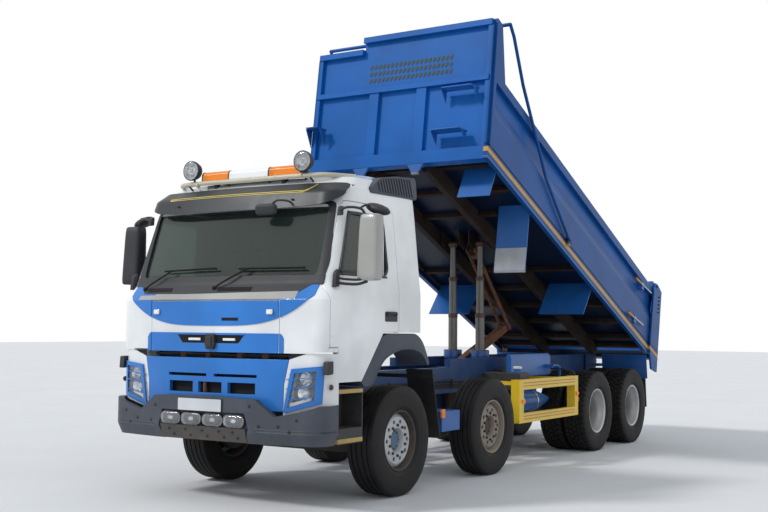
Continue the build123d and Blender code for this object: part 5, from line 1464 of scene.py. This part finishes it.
def make_rams():
    """Both rams' three tubes, each a turned section with a darker collar or an eye at its top, and the collars
    of their barrels."""
    for name, body, radius, foot, top, lip in (("lower", "stage_1", 0.0585, 0.30, 1.232, 0.0038),
                                               ("middle", "stage_2", 0.0485, 0.80, 1.710, 0.0062),
                                               ("upper", "stage_3", 0.0370, 1.20, 2.105, 0.0)):
        forms = []
        neck = top - 0.055
        for x in (-RAM_X, RAM_X):
            place, eye = (x, RAM_Y, RAM_FOOT), (x, RAM_Y, RAM_EYE)
            forms.append(spun([(foot, 0.0), (foot, radius), (neck, radius)], place, "z", 40))
            if lip:
                ring = [(neck, radius), (top - 0.052, radius + lip), (top - 0.004, radius + lip),
                        (top, radius + lip - 0.004), (top, 0.0)]
                forms.append(spun(ring, place, "z", 40, finish=1))
            else:
                forms += [spun([(neck, radius), (top, radius), (top, 0.0)], place, "z", 40),
                          spun(rod(0.044, 0.036), eye, "x", 28, finish=1),
                          spun(rod(0.062, 0.022), eye, "x", 20, finish=1)]
        tubes = show(f"ram_{name}_tubes", joined(forms), body, [ram_steel, ram_brown], "ram_chrome", bevel=0.0015)
        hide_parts(f"ram_tubes_{name}")
    collar = [(0.648, 0.100), (0.648, 0.119), (0.664, 0.1195), (0.745, 0.1195), (0.761, 0.112), (0.761, 0.066)]
    rings = joined(spun(collar, (x, RAM_Y, RAM_FOOT), "z", 48, closed=True) for x in (-RAM_X, RAM_X))
    show("ram_collars", rings, "barrels", deep_blue, "ram_barrel", bevel=0.003)


def make_tanks():
    """Air tank with a coned end, tall box and filler tank on the left, fuel tank on the right, low boxes on both."""
    x, z, r = AIR_TANK
    air = spun([(3.200, 0.0), (3.200, r - 0.030), (3.212, r - 0.012), (3.235, r), (3.870, r), (4.300, 0.040),
                (4.310, 0.0)], (x, 0, z), "y", 56, finish=1)
    holders = [box((0.425, x - r + 0.030), (y, y + 0.050), (z - 0.010, 0.905), 2) for y in (3.320, 3.740)]
    holders += [box((0.425, 0.745), (y, y + 0.060), (1.060, 1.120), 2) for y in (3.500, 4.150)]
    tall = slab([(0.735, 1.040), (0.800, 1.040), (0.800, 1.275), (0.775, 1.320), (0.752, 1.320), (0.735, 1.300)],
                3.230, 4.425, "y", 1)
    filler = slab(rounded(0.520, 1.035, 0.890, 1.100, 0.025), 2.990, 3.240)
    neck = spun([(1.095, 0.0), (1.095, 0.046), (1.142, 0.046), (1.150, 0.040), (1.150, 0.0)], FILLER, "z", 28,
                finish=1)
    fuel = slab(rounded(-1.030, -0.470, 0.600, 1.120, 0.10), 3.000, 4.250, finish=1)
    low = both(box((0.750, 1.150), (0.860, 1.250), (0.555, 0.765), 1)
               + box((0.425, 0.760), (1.02, 1.08), (0.64, 0.70), 2))
    tanks = show("tanks_and_boxes", joined([air, tall, filler, neck, fuel, low] + holders), "chassis",
                 [dark_plastic, wing_blue, axle_iron], "frame_paint", bevel=0.006)
    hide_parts("chassis_tanks")
    t = full_turn(40)
    straps = []
    for y in (3.345, 3.765):
        ring = np.stack([x + (r + 0.003) * np.cos(t), 0 * t + y, z + (r + 0.003) * np.sin(t)], -1)
        straps.append(carried(corners(-0.003, 0.003, -0.018, 0.018), ring, (0, 1, 0), True))
    show("tank_straps", joined(straps), "chassis", dull_chrome, "frame_paint")
    cap = spun([(1.148, 0.0), (1.148, 0.054), (1.168, 0.056), (1.180, 0.048), (1.182, 0.0)], FILLER, "z", 28)
    show("filler_cap", cap, "chassis", plate_white, "frame_paint", bevel=0.003)


def make_body_flap():
    """The pale rubber flap hanging from the middle wing of the body: a sheet with a curled lower edge."""
    down = np.array([(2.604, 0.930), (2.616, 0.870), (2.634, 0.790), (2.652, 0.710), (2.667, 0.655), (2.676, 0.640)])
    across = np.linspace(0.772, 1.182, 10)[:, None]
    outer = np.stack([across + 0 * down[None, :, 0], down[None, :, 0] - 0.004 + 0 * across,
                      down[None, :, 1] + 0 * across], -1)
    flap = both(thick(outer, (0, 0.024, 0)))
    show("body_flaps", flap, "tipper", pale_rubber, "flap_rubber", bevel=0.003, tip=True)


def make_chassis_detail():
    """Rear wing plates with flaps, the guards' lines and lamps, lamps on stalks, the rail's pipes and a tube."""
    plate = slab([(6.938, 1.268), (6.982, 0.912), (6.996, 0.912), (6.952, 1.268)], 0.540, 1.244, "x")
    flap = slab([(6.983, 0.925), (7.030, 0.487), (7.056, 0.487), (7.009, 0.925)], 0.590, 1.210, "x", 1)
    show("rear_wing_plates", both(plate + flap), "chassis", [wing_blue, black_rubber], "flap_rubber", bevel=0.003)
    heights = [low + 0.12 * share for low in (0.520, 0.912) for share in (0.36, 0.66)]
    lines = joined(box((1.164, 1.1665), (2.822, 4.378), (z - 0.006, z + 0.006)) for z in heights)
    show_pair("guard_lines", lines, "chassis", orange_line, "guard_yellow")
    lamps = joined(slab(rounded(y - 0.035, y + 0.035, z - 0.02, z + 0.02, 0.012), 1.160, 1.185, "x")
                   for y, z in ((2.795, 0.775), (4.44, 0.80)))
    show_pair("guard_lamps", lamps, "chassis", amber_lens, "lamp", bevel=0.004)
    stalk = tube([(0.790, 4.470, 1.120), (0.98, 4.480, 1.105), (1.110, 4.485, 1.060), (1.118, 4.485, 0.900),
                  (1.120, 4.555, 0.800), (1.120, 4.560, 0.740)], 0.011)
    lamp = slab(rounded(4.525, 4.595, 0.685, 0.748, 0.014), 1.100, 1.135, "x", 1)
    show_pair("stalk_lamp", stalk + lamp, "chassis", [dark_plastic, amber_lens], "lamp")
    markers = joined(slab(corners(0.838, 0.905, 0.700, 0.790), x - 0.012, x + 0.012, "x") for x in (-1.155, 1.155))
    show("box_lamps", markers, "chassis", amber_lens, "lamp", bevel=0.006)
    rail_x = 0.434
    pipes = [tube([(rail_x, 0.90, z), (rail_x, 2.2, z), (rail_x, 2.9, z - 0.02), (rail_x, 4.9, z - 0.02)], r)
             for z, r in ((1.010, 0.012), (0.975, 0.010), (0.945, 0.012))]
    clips = [box((0.425, 0.452), (y, y + 0.03), (0.925, 1.030)) for y in (0.95, 1.45, 2.35, 2.85, 3.55, 4.15, 4.75)]
    show("rail_pipes", both(joined(pipes + clips)), "chassis", black_rubber, "trim_grey")
    curve = tube([(0.900, 4.250, 1.155), (0.905, 4.38, 1.160), (0.905, 4.48, 1.120), (0.900, 4.492, 1.020),
                  (0.890, 4.470, 0.940)], 0.020)
    joins = box((0.78, 0.905), (4.24, 4.28), (1.130, 1.175))
    show("curved_tube", curve + joins, "chassis", wing_blue, "frame_paint")


# Setting: floor, light and camera

def make_setting():
    """The pale floor, a sky that lights softly but looks white to the camera and in reflections, and two suns."""
    bpy.ops.mesh.primitive_plane_add(size=160)
    floor = bpy.context.object
    floor.name = "floor"
    material, place = begin("studio_floor")
    set_surface(material, Base_Color=place.noise(0.6).rises(0.2, 0.8).mixed((0.80, 0.80, 0.80), (0.84, 0.84, 0.84)),
                Roughness=0.9)
    floor.data.materials.append(material)
    world = bpy.data.worlds.new("soft_studio")
    bpy.context.scene.world = world
    world.use_nodes = True
    tree = world.node_tree
    tree.nodes.clear()
    ray = Shade(tree, tree.nodes.new("ShaderNodeLightPath").outputs["Is Camera Ray"])
    paths = ray.socket.node
    seen = ray.maths("MAXIMUM", ray, Shade(tree, paths.outputs["Is Glossy Ray"]))
    seen = seen.maths("MAXIMUM", seen, Shade(tree, paths.outputs["Is Transmission Ray"]))
    soft = ray.node("Background", None, {"Color": (0.86, 0.93, 1.0, 1.0), "Strength": 0.60})
    plain = ray.node("Background", None, {"Color": (1.0, 1.0, 1.0, 1.0), "Strength": 1.0})
    both_skies = ray.node("MixShader", None, {0: seen, 1: soft, 2: plain})
    output = tree.nodes.new("ShaderNodeOutputWorld")
    tree.links.new(both_skies.socket, output.inputs["Surface"])
    for name, strength, spread, turn in (("key", 1.45, 9, (50, 0, -38)), ("fill", 0.22, 50, (58, 0, 62))):
        lamp = bpy.data.lights.new(name, "SUN")
        lamp.energy, lamp.angle = strength, radians(spread)
        made = bpy.data.objects.new(name, lamp)
        made.rotation_euler = [radians(a) for a in turn]
        made.visible_glossy = name == "key"
        bpy.context.scene.collection.objects.link(made)


def make_camera():
    """The photograph's place and angle: turned 32.3 degrees, 3.7 up, rolled half a degree."""
    place, sensor, lens = (6.87066, -12.34204, 1.62575), 36.0, 52.267
    yaw, pitch, roll = radians(32.27697), radians(3.71854), radians(0.52820)
    ahead = np.array([-sin(yaw) * cos(pitch), cos(yaw) * cos(pitch), sin(pitch)])
    right = np.array([cos(yaw), sin(yaw), 0.0])
    up = np.cross(right, ahead)
    side = right * cos(roll) + up * sin(roll)
    top = -right * sin(roll) + up * cos(roll)
    view = bpy.data.cameras.new("view")
    view.sensor_width, view.lens, view.clip_end = sensor, lens, 300.0
    camera = bpy.data.objects.new("view", view)
    grid = np.eye(4)
    grid[:3, 0], grid[:3, 1], grid[:3, 2] = side, top, -ahead
    grid[:3, 3] = place
    camera.matrix_world = Matrix(grid.tolist())
    bpy.context.scene.collection.objects.link(camera)
    bpy.context.scene.camera = camera


make_camera()
make_setting()
make_wheels()
make_bonnet()
make_lower_panel()
make_wipers()
make_screen_frame()
make_visor()
make_front_mirror()
make_light_bar()
make_roof_rail()
make_bumper()
make_grille()
make_bumper_detail()
make_headlamps()
make_corner_fittings()
make_mirrors()
make_door_detail()
make_steps()
make_arches()
make_air_intake()
make_seats()
make_bulkhead_detail()
make_latches()
make_rams()
make_tanks()
make_body_flap()
make_chassis_detail()

bpy.context.scene.view_settings.view_transform = "Standard"
